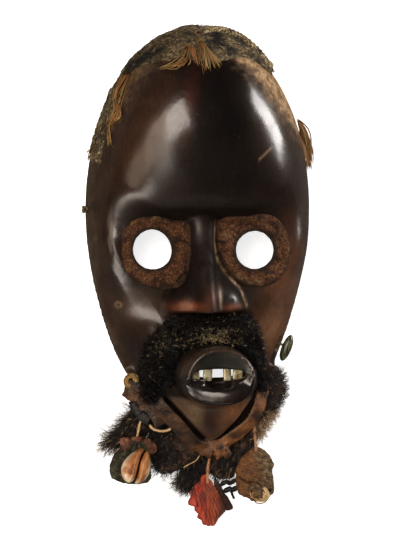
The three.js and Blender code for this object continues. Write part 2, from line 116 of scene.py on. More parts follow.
def base_height(u, y, brow=BROW_Y, step=6.0):
    rise = clamp01((y - FOREHEAD_Y) / (TOP - FOREHEAD_Y))
    fall = (FOREHEAD_Y - y) / (FOREHEAD_Y - BROW_Y)
    crown = np.where(y > FOREHEAD_Y, FOREHEAD * arch(rise, 2.3, 2), FOREHEAD - 7 * fall ** 2 - 3 * np.abs(fall) ** 6)
    jaw = FACE * arch(clamp01((JAW_Y - y) / (JAW_Y - CHIN)), 3, 1.8)
    ridge = ridge_of_cheek(y)
    side = clamp01((np.abs(u) - ridge) / (1 - ridge))
    steep = (0.77 - ridge) / 0.37
    cheek = np.maximum(0.0, 1 - side ** mix(2.2, 1.35, steep)) ** mix(0.55, 0.8, steep)
    away = smooth(0.35, 0.8, np.abs(u))
    over = smooth(brow - 5 - 10 * away, brow + step - 1 + 16 * away, y)
    return mix(jaw * cheek, crown * arch(u, 2.6, 2), over)


def nose_height(x, y):
    """A long ridge, rounder on its left flank, and two low wings beside its tip."""
    along = clamp01((BROW_Y + 4 - y) / (BROW_Y + 4 - NOSE_BASE_Y))
    across = x - face_lean(y) + 0.8
    ridge_half = np.where(across < 0, mix(9.8, 8.8, along), mix(6.4, 7.4, along))
    ridge_power = np.where(across < 0, 2.15, 3.0)
    ridge_rise = 9.5 + 17.5 * along ** 1.9
    ridge = ridge_rise * bump(across / ridge_half, ridge_power, 2.0)
    wing_half = mix(4.6, 23.8, smooth(-1, -32, y))
    wing_rise = 14.5 * smooth(-4, -25, y)
    wings = wing_rise * bump((across - 0.8) / wing_half, 2.5, 1.9)
    past = np.minimum(np.abs(across / ridge_half), np.abs((across - 0.8) / wing_half)) - 1
    return FACE - 1 + blend_max(ridge, wings, 1.6) - 25 * np.maximum(past, 0)


def lips_height(x, y):
    """One oval disc. Its upper half is a flat face set back inside a narrow rim, its lower half is a full lip
    that is rounded both ways, with a black hole between it and the teeth."""
    reach = np.hypot((x - MOUTH_X) / MOUTH_HALF_X, (y - MOUTH_Y) / MOUTH_HALF_Y)
    beside, up = x - MOUTH_X, y - MOUTH_Y + 1
    across = (beside - 2.5) / 18
    squarish = (np.abs(across) ** 2.8 + np.abs(up / 14.2) ** 2.8) ** (1 / 2.8)
    edge = np.where(up > 0, np.hypot(across, up / 17.4), squarish)
    outside = clamp01((edge - 1) / np.maximum(edge - 1 + 1.4 * (1 - reach), 1e-6))
    inner = clamp01(1 - edge)
    upper = 1.8 * smooth(0, 0.07, inner) + 4.5 * inner
    crest = -14.2 * np.maximum(0, 1 - np.abs(across) ** 2.8) ** (1 / 2.8)
    behind = clamp01((up - crest) / np.maximum(-2 - crest, 0.8))
    hole = 0.08 + 0.92 * np.exp(-((beside - 1.6) / 7.4) ** 4)
    lower = np.maximum(up - crest, 0) ** 2 / 62 + 10.5 * smooth(0.66, 0.9, behind) * hole
    rounded = 6 * (1 - np.exp(-((beside - 9) / 22) ** 2)) * smooth(1, -3, up)
    drop = mix(upper, lower, smooth(0.3, -1.2, up)) + rounded
    return np.where(reach < 1, FACE - 2 + LIPS * arch(outside, np.where(up > 0, 2.2, 2.6), 1.9) - drop, -20.0)


def chin_edges(y):
    """The left and right edge of the raised wedge of the chin."""
    left = np.interp(-y, [80, 86.3, 99.3, 112.2, 114.6], [-24, -21.6, -9.6, 2.6, 6.4])
    right = np.interp(-y, [79.4, 87.7, 99.3, 109, 114.6], [31.8, 28.2, 21.2, 13.1, 7.6])
    return left, right


def chin_height(x, y):
    left, right = chin_edges(y)
    across = (x - (left + right) / 2) / (right - left) * 2
    bulge = 9.5 * arch(across, 7, 2.6) - 1.6 * across ** 2
    return base_height(0 * x, y) + bulge * smooth(CHIN_TOP + 8, CHIN_TOP - 3, y) - 20 * (np.abs(across) > 1)


def out_share(x, y):
    return np.clip((x - outline_lean(y)) / np.maximum(half_width(y), 1e-3), -1, 1)


def wood_height(x, y):
    """The height of the carved front at a place in plan."""
    u = out_share(x, y)
    base = base_height(u, y)
    nose = np.where((y < BROW_Y + 16) & (y > NOSE_BASE_Y), nose_height(x, y), -20.0)
    whole = blend_max(base, nose, 2.5)
    chin = np.where(y < CHIN_TOP + 8, chin_height(x, y), -20.0)
    whole = blend_max(whole, chin, 1.5)
    return np.maximum(blend_max(whole, lips_height(x, y), 1.2) * (np.abs(u) < 1), 0.0)


def xyz(*parts):
    """Places or directions from their coordinates."""
    return np.stack(parts, axis=-1)


def unit(way):
    """Directions with a length of one."""
    return way / np.maximum(np.linalg.norm(way, axis=-1, keepdims=True), 1e-9)


def deselect():
    bpy.ops.object.select_all(action="DESELECT")


def put_up(name, mesh):
    """The object of a finished mesh, shaded smooth."""
    mesh.validate()
    piece = bpy.data.objects.new(name, mesh)
    bpy.context.collection.objects.link(piece)
    mesh.shade_smooth()
    return piece


def keep(mesh, **values):
    """Numbers that the points of a mesh keep for their material."""
    for key, numbers in values.items():
        made = mesh.attributes.new(key, "FLOAT", "POINT").data
        made.foreach_set("value", np.broadcast_to(numbers, len(made)).astype(np.float32))


def new_object(name, points, faces, **values):
    """A closed skin from points in millimetres, with numbers that they keep, turned outward."""
    mesh = bpy.data.meshes.new(name)
    placed = np.asarray(points, dtype=float) * MM + SHIFT
    mesh.from_pydata(placed.tolist(), [], faces)
    piece = put_up(name, mesh)
    keep(mesh, **values)
    outward(piece)
    return piece


def choose(piece):
    deselect()
    piece.select_set(True)
    bpy.context.view_layer.objects.active = piece


def apply_modifier(piece, kind, **settings):
    choose(piece)
    modifier = piece.modifiers.new(kind.title(), kind)
    for key, value in settings.items():
        setattr(modifier, key, value)
    bpy.ops.object.modifier_apply(modifier=modifier.name)


def outward(piece):
    choose(piece)
    bpy.ops.object.mode_set(mode="EDIT")
    bpy.ops.mesh.select_all(action="SELECT")
    bpy.ops.mesh.remove_doubles(threshold=1e-6)
    bpy.ops.mesh.normals_make_consistent(inside=False)
    bpy.ops.object.mode_set(mode="OBJECT")


def ring_faces(rings, around):
    """Faces that join a first point, rings of points and a last point to a closed skin."""
    last = 1 + (rings - 1) * around
    faces = []
    for k in range(around):
        after = (k + 1) % around
        faces += [(0, 1 + after, 1 + k), (last + around, last + k, last + after)]
        faces += [(a + k, a + after, a + around + after, a + around + k) for a in range(1, last, around)]
    return faces


def carved_block(name, rows):
    """Rows of points from the top down to the chin, with a flat back between each row's two ends."""
    points = np.concatenate([rows[0, :1], rows[1:-1].reshape(-1, 3), rows[-1, :1]])
    return new_object(name, points, ring_faces(len(rows) - 2, rows.shape[1]))


def block_rows(rows, columns):
    """The front of the mask as a table of points."""
    along = np.linspace(0, 1, rows + 1)
    angle = np.pi * along
    y = (TOP + CHIN) / 2 + (TOP - CHIN) / 2 * np.cos(angle)
    side = 1 - 2 * np.linspace(0, 1, columns + 1)
    u = np.sin(np.pi / 2 * np.abs(side) ** 1.05) * np.sign(side)
    yy = np.repeat(y[:, None], columns + 1, axis=1)
    xx = u[None, :] * half_width(yy) + outline_lean(yy)
    zz = wood_height(xx, yy)
    zz[:, 0] = zz[:, -1] = zz[0] = zz[-1] = 0
    return xyz(xx, yy, zz)


mask = carved_block("carved_mask", block_rows(330, 150))


def hollow_rows(rows, columns):
    """The inside as a table of points, which leaves the wall and the flat rim."""
    along = np.cos(np.pi * np.linspace(0, 1, rows + 1))
    middle, reach = (TOP + CHIN) / 2, (TOP - CHIN) / 2
    u = np.sin(np.pi / 2 * (1 - 2 * np.linspace(0, 1, columns + 1)))
    y = np.repeat((middle + reach * along)[:, None], columns + 1, axis=1)
    narrower = (HALF_WIDTH - RIM_WIDTH) / HALF_WIDTH
    x = u[None, :] * half_width(y) * narrower + outline_lean(y)
    z = base_height(np.repeat(u[None, :], rows + 1, axis=0), y, BROW_Y + 4, 30) * (1 - WALL / FACE)
    z[:, 0] = z[:, -1] = z[0] = z[-1] = -2
    y = np.repeat((middle + (reach - RIM_WIDTH) * along)[:, None], columns + 1, axis=1)
    return xyz(x, y, z)


hollow = carved_block("hollow", hollow_rows(120, 80))


def at(x, y, z):
    """A place in millimetres as the scene's metres."""
    return Vector(np.array([x, y, z], dtype=float) * MM + SHIFT)


def cut(piece, cutter):
    apply_modifier(piece, "BOOLEAN", operation="DIFFERENCE", object=cutter, solver="MANIFOLD")
    bpy.data.objects.remove(cutter, do_unlink=True)


def tunnel(name, rings):
    """A straight-sided hole through rings that have the same number of points."""
    sides = len(rings[0])
    ends = [tuple(range(sides))[::-1], tuple(range((len(rings) - 1) * sides, len(rings) * sides))]
    faces = [(a + k, a + (k + 1) % sides, a + sides + (k + 1) % sides, a + sides + k)
             for a in range(0, (len(rings) - 1) * sides, sides) for k in range(sides)]
    return new_object(name, np.concatenate(rings), faces + ends)


def oval(x, y, z, half_x, half_y, sides, power=1.0):
    """A ring of points, nearer to a rectangle with a lower power."""
    angle = 2 * np.pi * np.arange(sides) / sides
    across, up = np.cos(angle), np.sin(angle)
    return xyz(x + half_x * np.sign(across) * np.abs(across) ** power,
               y + half_y * np.sign(up) * np.abs(up) ** power, z + 0 * angle)


def blank(add_primitive, x, y, z, **settings):
    """A primitive at a place in millimetres, to shape or to cut with."""
    deselect()
    add_primitive(location=at(x, y, z), **settings)
    return bpy.context.object


def drill(x, y, z, radius, length, turn):
    return blank(bpy.ops.mesh.primitive_cylinder_add, x, y, z, vertices=20, radius=radius * MM, depth=length * MM,
                 rotation=turn)


# The eye holes narrow inwards and aren't quite straight. Each row is a ring: its middle, its height and its radius
LEFT_EYE = [(-33.4, -0.2, 36, 13.5), (-32.8, -0.2, 30.5, 13.4), (-30.2, 0.4, 23, 11.9), (-29.6, 0.4, 14, 12.1)]
RIGHT_EYE = [(31.8, -0.3, 36, 13.4), (31.7, -0.3, 30.5, 13.3), (31.0, 0.4, 24, 11.3), (30.8, 0.4, 14, 11.6)]
cut(mask, hollow)
for levels in (LEFT_EYE, RIGHT_EYE):
    cut(mask, tunnel("eye_hole", [oval(x, y, z, radius, radius, 72) for x, y, z, radius in levels]))
for side in (-1, 1):
    cut(mask, drill(float(face_lean(NOSE_BASE_Y)) + side * 11.5, NOSE_BASE_Y, 39, 2.6, 12, (math.pi / 2, 0, 0)))
cut(mask, blank(bpy.ops.mesh.primitive_uv_sphere_add, MOUTH_X + 1, MOUTH_Y + 2.5, 16, segments=40, ring_count=24,
                radius=MM, scale=(17, 10.5, 23)))
cut(mask, tunnel("slit", [oval(SLIT_X, SLIT_Y, z, SLIT_HALF_X, SLIT_HALF_Y, 40, 0.7) for z in (20, 75)]))
cut(mask, blank(bpy.ops.mesh.primitive_cube_add, 50, -57, 5.4, size=1, scale=(24 * MM, 9 * MM, 3.6 * MM)))
for side, y in ((1, 21), (1, -7), (-1, 24), (-1, -7)):
    cut(mask, drill(side * (HALF_WIDTH - 5), y, 9, 1.5, 40, (0, math.pi / 2, 0)))
apply_modifier(mask, "REMESH", mode="VOXEL", voxel_size=1.22 * MM, adaptivity=0)
apply_modifier(mask, "SMOOTH", factor=0.5, iterations=5)
choose(mask)
bpy.ops.object.shade_smooth()


def add(tree, kind, inputs=None, **settings):
    """A shader node with its settings, and with numbers or other nodes' sockets on its inputs."""
    made = tree.nodes.new("ShaderNode" + kind)
    for key, value in settings.items():
        setattr(made, key, value)
    for key, value in (inputs or {}).items():
        if isinstance(value, bpy.types.NodeSocket):
            tree.links.new(value, made.inputs[key])
        else:
            made.inputs[key].default_value = value
    return made


def fit(piece, finish, node=None):
    """Gives a piece its finish and its slot, fixes it to the body, and hides the plain solid that it stands for, if one
    is named.
    """
    piece.data.materials.clear()
    piece.data.materials.append(finish)
    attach(piece, "root")
    if node:
        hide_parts(node)


def new_finish(name, roughness=0.5, shine=0.5, **fixed):
    """A material with one Principled shader, its tree, and the object's own coordinates."""
    material = bpy.data.materials.new(name)
    material.use_nodes = True
    tree = material.node_tree
    shader = tree.nodes["Principled BSDF"]
    for key, value in {"Roughness": roughness, "Specular_IOR_Level": shine, **fixed}.items():
        shader.inputs[key.replace("_", " ")].default_value = value
    place = add(tree, "TexCoord").outputs["Object"]
    return material, tree, shader, place


def blend(tree, factor, a, b, mode="MIX"):
    """Two colours laid over each other. Each is a colour or a socket, and the factor is a socket."""
    made = add(tree, "Mix", data_type="RGBA", blend_type=mode)
    for key, value in ((0, factor), (6, a), (7, b)):
        if isinstance(value, bpy.types.NodeSocket):
            tree.links.new(value, made.inputs[key])
        else:
            made.inputs[key].default_value = (*value, 1)
    return made.outputs[2]


def level(tree, value, low, high, out_low=0.0, out_high=1.0):
    """A value between two levels, stretched to two others."""
    made = add(tree, "MapRange", {"Value": value, "From Min": low, "From Max": high,
                                  "To Min": out_low, "To Max": out_high})
    return made.outputs["Result"]


def math_node(tree, operation, a, b):
    return add(tree, "Math", {0: a, 1: b}, operation=operation).outputs[0]


def noise(tree, place, scale, detail=2.0, **more):
    return add(tree, "TexNoise", {"Vector": place, "Scale": scale, "Detail": detail, **more}).outputs["Fac"]


def past(tree, side, start, end, amount=1.0):
    """A share that grows from one place in millimetres to another across the mask."""
    return level(tree, side, float(at(start, 0, 0)[0]), float(at(end, 0, 0)[0]), 0, amount)


def kept(tree, key, output="Fac"):
    """What the points of a mesh keep under a name."""
    return add(tree, "Attribute", attribute_name=key).outputs[output]


LATTICE = np.random.default_rng(11).random((32, 32, 32))


def grain(points, size, octaves=1, seed=0):
    """Smooth noise from 0 to 1 at places in millimetres, with lumps of about the given size."""
    total, weight = 0.0, 0.0
    for octave in range(octaves):
        p = np.asarray(points) / (size / 2 ** octave) + 7.3 * (seed + octave)
        i = np.floor(p).astype(int)
        f = p - i
        f = f * f * (3 - 2 * f)
        value = 0.0
        for corner in np.ndindex(2, 2, 2):
            share = np.prod(np.where(corner, f, 1 - f), axis=-1)
            value = value + share * LATTICE[tuple(((i + corner) % 32)[..., k] for k in range(3))]
        total, weight = total + value / 2 ** octave, weight + 1 / 2 ** octave
    return total / weight


def paint(piece, values_of):
    """Gives each point of a mesh the colours or numbers that values_of works out from its place in millimetres."""
    place = np.empty(3 * len(piece.data.vertices))
    piece.data.vertices.foreach_get("co", place)
    for key, values in values_of((place.reshape(-1, 3) - SHIFT) / MM).items():
        if values.ndim == 2:
            values = np.concatenate([values, np.ones((len(values), 1))], axis=1)
            made = piece.data.attributes.new(key, "FLOAT_COLOR", "POINT").data
            made.foreach_set("color", values.ravel().astype(np.float32))
        else:
            keep(piece.data, **{key: values})


def patch(place, x, y, half_x, half_y, turn=0.0, power=2):
    """A soft spot, 1 in its middle and fading past its half sizes."""
    c, s = math.cos(math.radians(turn)), math.sin(math.radians(turn))
    across = ((place[:, 0] - x) * c + (place[:, 1] - y) * s) / half_x
    along = ((place[:, 1] - y) * c - (place[:, 0] - x) * s) / half_y
    return np.exp(-(np.abs(across) ** power + np.abs(along) ** power))


def line(place, points, half):
    """A thin line through places in plan, 1 on the line."""
    points = np.array(points, dtype=float)
    near = np.full(len(place), 1e9)
    for start, end in zip(points[:-1], points[1:]):
        step = end - start
        t = clamp01(((place[:, :2] - start) @ step) / (step @ step))
        near = np.minimum(near, np.linalg.norm(place[:, :2] - start - t[:, None] * step, axis=1))
    return np.exp(-(near / half) ** 2)


NOSE_FOOT = [(6, 17.9), (5.4, 5), (7.8, -5.4), (12.5, -13.3), (20.6, -21.6), (24.7, -32.1)]


def old_surface_and_painted_light(place):
    """Dyed black and polished by hands, brown where it is worn, and tan and dull under old crust at the edge. It also
    holds painted light: dark reflections and a brow shadow on the forehead, red-brown halos round its highlights,
    highlights on the nose, and reflected light on the nose wings and the sides.
    """
    x, y, z = place.T
    wave = grain(place, 16, 3, 1)[:, None] - 0.5
    bent = place + np.concatenate([9 * wave, -7 * wave, 0 * wave], axis=1)
    fine, speck = grain(place, 5, 3, 6), grain(place, 2.6, 3, 12)
    u = np.abs(x - outline_lean(y)) / np.maximum(half_width(y), 1)
    over = np.hypot(x / HALF_WIDTH, (y - WIDEST) / (TOP - WIDEST))
    edge = np.where(y > WIDEST, over, u) + 0.10 * (fine - 0.5)
    turn = np.degrees(np.arctan2(x / HALF_WIDTH, (y - WIDEST) / (TOP - WIDEST)))
    right_start = np.interp(turn, [-78, -60, -20, 8, 17, 38, 50, 64, 76],
                            [1, 0.88, 0.88, 0.86, 0.80, 0.765, 0.79, 0.88, 1])
    past = edge - right_start + 0.07 * (grain(place, 2.2, 2, 9) - 0.5)
    crust = smooth(-0.02, 0.09, past) * (y > WIDEST + 8)
    reach = np.hypot((x - MOUTH_X) / MOUTH_HALF_X, (y - MOUTH_Y) / MOUTH_HALF_Y)
    on_lips = smooth(1.04, 0.98, reach) * smooth(24, 30, z)
    above_mouth = smooth(-2, 3, y - SLIT_Y)
    chin_left, chin_right = chin_edges(y)
    on_chin = smooth(-0.5, 2, np.minimum(x - chin_left, chin_right - x)) * smooth(-84, -88, y) * (1 - on_lips)
    sockets = smooth(BROW_Y + 3, BROW_Y - 3, y) * smooth(-34, -26, y) * smooth(0.74, 0.66, u)
    nose = smooth(3, 0, np.abs(x - face_lean(y)) - mix(9, 25, smooth(-2, -30, y))) * smooth(BROW_Y + 2, BROW_Y - 4, y)
    nose = nose * smooth(NOSE_BASE_Y - 2, NOSE_BASE_Y, y) * smooth(28, 31, z)

    def spot(*sizes, **more):
        return patch(bent, *sizes, **more)

    layers = [
        # Brown towards the sides and grey-brown at the left rim: partly worn wood, partly a painted reflection of the
        # pale floor
        (0.85 * smooth(0.8, 0.98, edge), (0.038, 0.022, 0.014), 0.6),
        (0.8 * smooth(0.93, 1, edge) * (x < 0), (0.075, 0.055, 0.035), 0.8),
        # Painted dark reflection: near black over the middle and lower forehead, where the polish mirrors the dark room
        (0.9 * spot(7, 82, 24, 44, power=3), (0.0025, 0.002, 0.002), 0.0),
        (0.85 * spot(4, 44, 46, 17, power=3), (0.006, 0.0045, 0.0035), 0.15),
        # Painted sheen: red-brown halos round the two forehead highlights, and a dark red edge beside the left one
        (0.75 * spot(-36, 68, 13, 32, -24), (0.062, 0.03, 0.017), 0.1),
        (0.6 * spot(-11, 84, 3, 18, -8), (0.05, 0.012, 0.008), 0.05),
        (0.5 * spot(40, 78, 12, 26, 20), (0.055, 0.036, 0.02), 0.1),
        (sockets, (0.007, 0.0045, 0.0035), 0.75),
        # Painted shadow along the brow, above the eyes
        (0.9 * patch(place, 0, BROW_Y + 2, 50, 9, power=4), (0.004, 0.003, 0.0025), 0.85),
        # Painted shade: darker on the left forehead, below its highlight
        (0.75 * spot(-21, 37, 15, 9), (0.008, 0.005, 0.004), 0.55),
        (0.85 * spot(50, -20, 9, 24), (0.15, 0.060, 0.029), 0.4),
        (0.6 * spot(54, 2, 6, 18), (0.05, 0.022, 0.012), 0.4),
        (0.6 * spot(-40, -34, 14, 12), (0.06, 0.03, 0.017), 0.2),
        (0.85 * spot(43, -48, 12, 16), (0.155, 0.068, 0.030), 0.45),
        (nose, (0.0055, 0.004, 0.004), 0.93),
        (nose * patch(place, -6.5, 14, 2.6, 5.6), (0.012, 0.0085, 0.008), 0.0),
        (0.85 * spot(2.5, -26, 5, 6) * smooth(38, 42, z), (0.075, 0.022, 0.011), 0.5),
        # Painted reflected light: orange along the undersides of the nose wings
        (0.85 * nose * spot(-11, -32.4, 9, 3), (0.19, 0.052, 0.018), 0.45),
        (0.8 * nose * spot(16.4, -33.4, 6, 2.2), (0.14, 0.04, 0.016), 0.5),
        (nose * patch(place, 15, -28, 2.6, 2.2), (0.014, 0.009, 0.008), 0.0),
        # Along the right foot of the nose a tan line that is partly patina and partly a painted highlight
        (line(place, NOSE_FOOT, 0.8) * smooth(0.2, 0.6, speck), (0.26, 0.16, 0.085), 0.6),
        # Painted highlight in the groove between the nose tip and the right wing
        (0.75 * patch(place, 7.6, -27, 0.9, 5), (0.34, 0.25, 0.17), 0.3),
        (on_lips, (0.008, 0.0055, 0.005), 0.0),
        (on_lips * smooth(2, -4, y - SLIT_Y) * smooth(16, 8, x - MOUTH_X), (0.010, 0.007, 0.006), 0.12),
        (on_lips * smooth(50, 44, z) * smooth(-88, -82, y), (0.006, 0.005, 0.004), 0.85),
        (0.8 * on_lips * above_mouth * smooth(0.72, 0.9, reach) * smooth(46, 52, z), (0.06, 0.036, 0.024), 0.1),
        (0.9 * on_lips * above_mouth * smooth(1.0, 0.9, np.hypot((x - MOUTH_X - 2.5) / 18, (y - MOUTH_Y + 1) / 17.4)),
         (0.0125, 0.0135, 0.011), 0.5),
        (0.95 * smooth(1.6, 1.3, reach) * smooth(46, 40, z) * smooth(-90, -84, y), (0.006, 0.005, 0.004), 0.97),
        (0.9 * on_lips * smooth(20.5, 22.5, x - MOUTH_X), (0.045, 0.025, 0.015), 0.85),
        (0.6 * on_lips * above_mouth * smooth(-9, -13, x - MOUTH_X), (0.035, 0.022, 0.015), 0.5),
        (0.9 * on_chin, (0.085, 0.05, 0.029), 0.35),
        (0.8 * on_chin * spot(-7, -97, 8, 12), (0.16, 0.105, 0.062), 0.25),
        (0.95 * on_chin * spot(5.5, -100, 6, 13, power=3), (0.026, 0.014, 0.013), 0.15),
        (0.85 * on_chin * spot(18, -94, 8, 12), (0.195, 0.082, 0.034), 0.35),
        (0.8 * np.exp(-((reach - 1.05) / 0.05) ** 2) * (y < MOUTH_Y) * smooth(20, 26, z)
         * smooth(17, 10, np.abs(x - MOUTH_X)), (0.075, 0.034, 0.018), 0.3),
        (0.9 * crust, (0.115, 0.068, 0.036), 0.8),
        (crust * smooth(0.02, 0.12, past) * smooth(0.2, 0.6, speck) * (0.35 + 0.65 * smooth(-10, 14, turn)),
         (0.42, 0.27, 0.145), 1.0),
        (0.75 * line(place, [(29.4, 53.3), (36.6, 59.9)], 0.6), (0.22, 0.13, 0.07), 0.6),
        (0.7 * np.exp(-((np.hypot(x + 49.2, y + 32) - 1.5) / 0.6) ** 2) * (x < 0), (0.2, 0.13, 0.08), 0.5),
        (smooth(3, 6, wood_height(x, y) - z) * (u < 0.93) * (edge < 0.97), (0.055, 0.032, 0.019), 1.0),
    ]
    tone, dull = np.tile((0.014, 0.0075, 0.0055), (len(place), 1)), np.full(len(place), 0.05)
    for share, colour, dullness in layers:
        tone = mix(tone, np.array(colour), clamp01(share)[:, None])
        dull = mix(dull, dullness, clamp01(share))
    return {"layer_colour": tone, "dull": dull}


# Each point keeps its colour, painted light included, and its dullness
paint(mask, old_surface_and_painted_light)
material, tree, shader, place = new_finish("oiled_black_wood", Specular_Tint=(1.0, 0.65, 0.45, 1), Coat_IOR=1.5)
layer_colour, dull = kept(tree, "layer_colour", "Color"), kept(tree, "dull")
cloud = noise(tree, place, 90, 5, Distortion=0.4)
streak = noise(tree, add(tree, "Mapping", {"Vector": place, "Scale": (1, 0.09, 0.6)}).outputs[0], 900, 3)
grit = noise(tree, place, 520, 4, Roughness=0.65)
tone = blend(tree, level(tree, cloud, 0.42, 0.62, 0, 0.6), layer_colour, (0.5, 0.45, 0.42), "MULTIPLY")
tone = blend(tree, level(tree, streak, 0.5, 0.7, 0, 0.55), tone, (1.9, 1.6, 1.35), "MULTIPLY")
flaked = math_node(tree, "MULTIPLY", dull, level(tree, grit, 0.38, 0.62, 0.55, -0.9))
tone = blend(tree, flaked, tone, (0.015, 0.0098, 0.007))
tone = blend(tree, level(tree, grit, 0.69, 0.75, 0, 0.4), tone, (0.20, 0.13, 0.075))
tree.links.new(tone, shader.inputs["Base Color"])
patchy = math_node(tree, "ADD", dull, level(tree, cloud, 0.35, 0.65, -0.04, 0.10))
for socket, polished, worn in (("Roughness", 0.22, 0.75), ("Specular IOR Level", 0.12, 0.13), ("Coat Weight", 1.0, 0.0),
                               ("Coat Roughness", 0.14, 0.5)):
    tree.links.new(level(tree, patchy, 0, 1, polished, worn), shader.inputs[socket])
uneven = add(tree, "Bump", {"Height": cloud, "Distance": 0.0005, "Strength": 0.3}).outputs[0]
rough = add(tree, "Bump", {"Height": grit, "Distance": 0.0004, "Strength": level(tree, patchy, 0, 1, 0.06, 0.9),
                           "Normal": uneven}).outputs[0]
tree.links.new(rough, shader.inputs["Normal"])
tree.links.new(uneven, shader.inputs["Coat Normal"])
fit(mask, material, "mask")

# ----------
# The eye cloths: a thick patch of red-brown felt glued round each eye hole, matted and crusted with age.
# Each is one layer on the wood, thinner at its torn edges, with pits, pills and short loose fibres.
LEFT_CLOTH = [
    (-48.6, 0.3), (-48.2, 8.4), (-46.4, 13.4), (-42.5, 17.6), (-36.6, 19.9), (-27.1, 20.3), (-18.9, 18.2),
    (-10.4, 17.0), (-8.6, 11), (-8.9, 0), (-10.2, -12.3), (-13.7, -19), (-20.1, -22), (-28.4, -22),
    (-37.2, -18.4), (-43.6, -14.6), (-47.2, -8.4),
]
RIGHT_CLOTH = [
    (6.6, 16.4), (12.6, 20), (24.2, 20.5), (34.7, 21.7), (42.9, 18.8), (48.1, 13), (50.4, 5), (50.1, -4.2),
    (47.5, -12.3), (41.7, -18.7), (33.5, -21), (24.2, -19.8), (17.2, -15.8), (11.4, -8.9), (7.9, -1.9), (6.4, 7.3),
]


def curve_through(points, count, closed=False):
    """A smooth curve of many points through a few."""
    p = np.array(points, dtype=float)
    ends = (p[-1:], p[:2]) if closed else (2 * p[:1] - p[1:2], 2 * p[-1:] - p[-2:-1])
    p = np.concatenate([ends[0], p, ends[1]])
    t = np.linspace(0, len(p) - 3, count, endpoint=not closed)
    i = np.minimum(t.astype(int), len(p) - 4)
    t = (t - i)[:, None]
    a, b, c, d = p[i], p[i + 1], p[i + 2], p[i + 3]
    return 0.5 * (2 * b + (c - a) * t + (2 * a - 5 * b + 4 * c - d) * t ** 2 + (3 * b - a - 3 * c + d) * t ** 3)


def reach(outline, x, y, angle):
    """How far an outline is from a middle point in the given directions."""
    ring = curve_through(outline, 480, closed=True) - (x, y)
    around = np.arctan2(ring[:, 1], ring[:, 0])
    order = np.argsort(around)
    turn = np.arctan2(np.sin(angle), np.cos(angle))
    return np.interp(turn, around[order], np.hypot(ring[:, 0], ring[:, 1])[order], period=2 * math.pi)


def on_wood(x, y, lift=0.0):
    return xyz(x, y, wood_height(x, y) + lift)


def sheet_normals(grid, closed=False):
    """The directions square to a table of points."""
    wide = np.concatenate([grid[-2:], grid, grid[:2]]) if closed else grid
    normal = np.cross(np.gradient(wide, axis=0), np.gradient(wide, axis=1))
    normal = normal[2:-2] if closed else normal
    normal = unit(normal)
    return normal * (1 if normal[..., 2].mean() > 0 else -1)


def cover(name, grid, thickness, closed=False, sink=0.35):
    """A layer that lies over a table of points, thick where its table of thickness says so."""
    rows, columns = grid.shape[:2]
    normal = sheet_normals(grid, closed)
    top = grid + normal * thickness[..., None]
    bottom = grid - normal * sink
    for layer in (top, bottom):
        layer[..., 2] = np.maximum(layer[..., 2], 0)
    points = np.concatenate([top.reshape(-1, 3), bottom.reshape(-1, 3)])
    under = rows * columns
    index = np.arange(under).reshape(rows, columns)
    index = np.concatenate([index, index[:1]]) if closed else index
    a, b = index[:-1], index[1:]
    upper = np.stack([a[:, :-1], b[:, :-1], b[:, 1:], a[:, 1:]], axis=-1).reshape(-1, 4)
    faces = [upper, upper[:, ::-1] + under]
    for edge in (index[:, 0], index[:, -1]) + (() if closed else (index[0], index[-1])):
        faces.append(np.stack([edge[:-1], edge[1:], edge[1:] + under, edge[:-1] + under], axis=-1))
    return new_object(name, points, np.concatenate(faces).tolist()), top, normal


def new_effect(name, inputs, outputs):
    """A node group for an effect that several materials share. Its inputs are numbers, colours or a place."""
    group = bpy.data.node_groups.new(name, "ShaderNodeTree")
    for label, value in inputs.items():
        kind = "Vector" if value is None else "Color" if isinstance(value, tuple) else "Float"
        made = group.interface.new_socket(label, in_out="INPUT", socket_type="NodeSocket" + kind)
        if value is not None:
            made.default_value = value
    for label, kind in outputs.items():
        group.interface.new_socket(label, in_out="OUTPUT", socket_type="NodeSocket" + kind)
    return group, group.nodes.new("NodeGroupInput").outputs, group.nodes.new("NodeGroupOutput").inputs


def use(tree, effect, **values):
    """Places an effect in a material with the material's own values."""
    values = {key.replace("_", " "): value for key, value in values.items()}
    values = {key: (*value, 1) if isinstance(value, tuple) else value for key, value in values.items()}
    return add(tree, "Group", values, node_tree=effect).outputs


BLACK = (0.0, 0.0, 0.0, 1.0)
# Fine grain in three colours, low, middle and high, which also gives its height
speckle, given, gives = new_effect("speckle", {
    "Place": None, "Scale": 500.0, "Detail": 4.0, "Roughness": 0.5, "Distortion": 0.0, "Low At": 0.35, "Low": BLACK,
    "Middle At": 0.5, "Middle": BLACK, "High At": 0.65, "High": BLACK,
}, {"Colour": "Color", "Height": "Float"})
fine = noise(speckle, given["Place"], given["Scale"], given["Detail"], Roughness=given["Roughness"],
             Distortion=given["Distortion"])
lower = blend(speckle, level(speckle, fine, given["Low At"], given["Middle At"]), given["Low"], given["Middle"])
whole = blend(speckle, level(speckle, fine, given["Middle At"], given["High At"]), lower, given["High"])
speckle.links.new(whole, gives["Colour"])
speckle.links.new(fine, gives["Height"])


def speckled(tree, place, low, middle, high, scale, detail=4, **more):
    """The speckle's colour and height. Each of its three stops is a level and a colour."""
    made = use(tree, speckle, Place=place, Scale=scale, Detail=detail, Low_At=low[0], Low=low[1], Middle_At=middle[0],
               Middle=middle[1], High_At=high[0], High=high[1], **more)
    return made["Colour"], made["Height"]


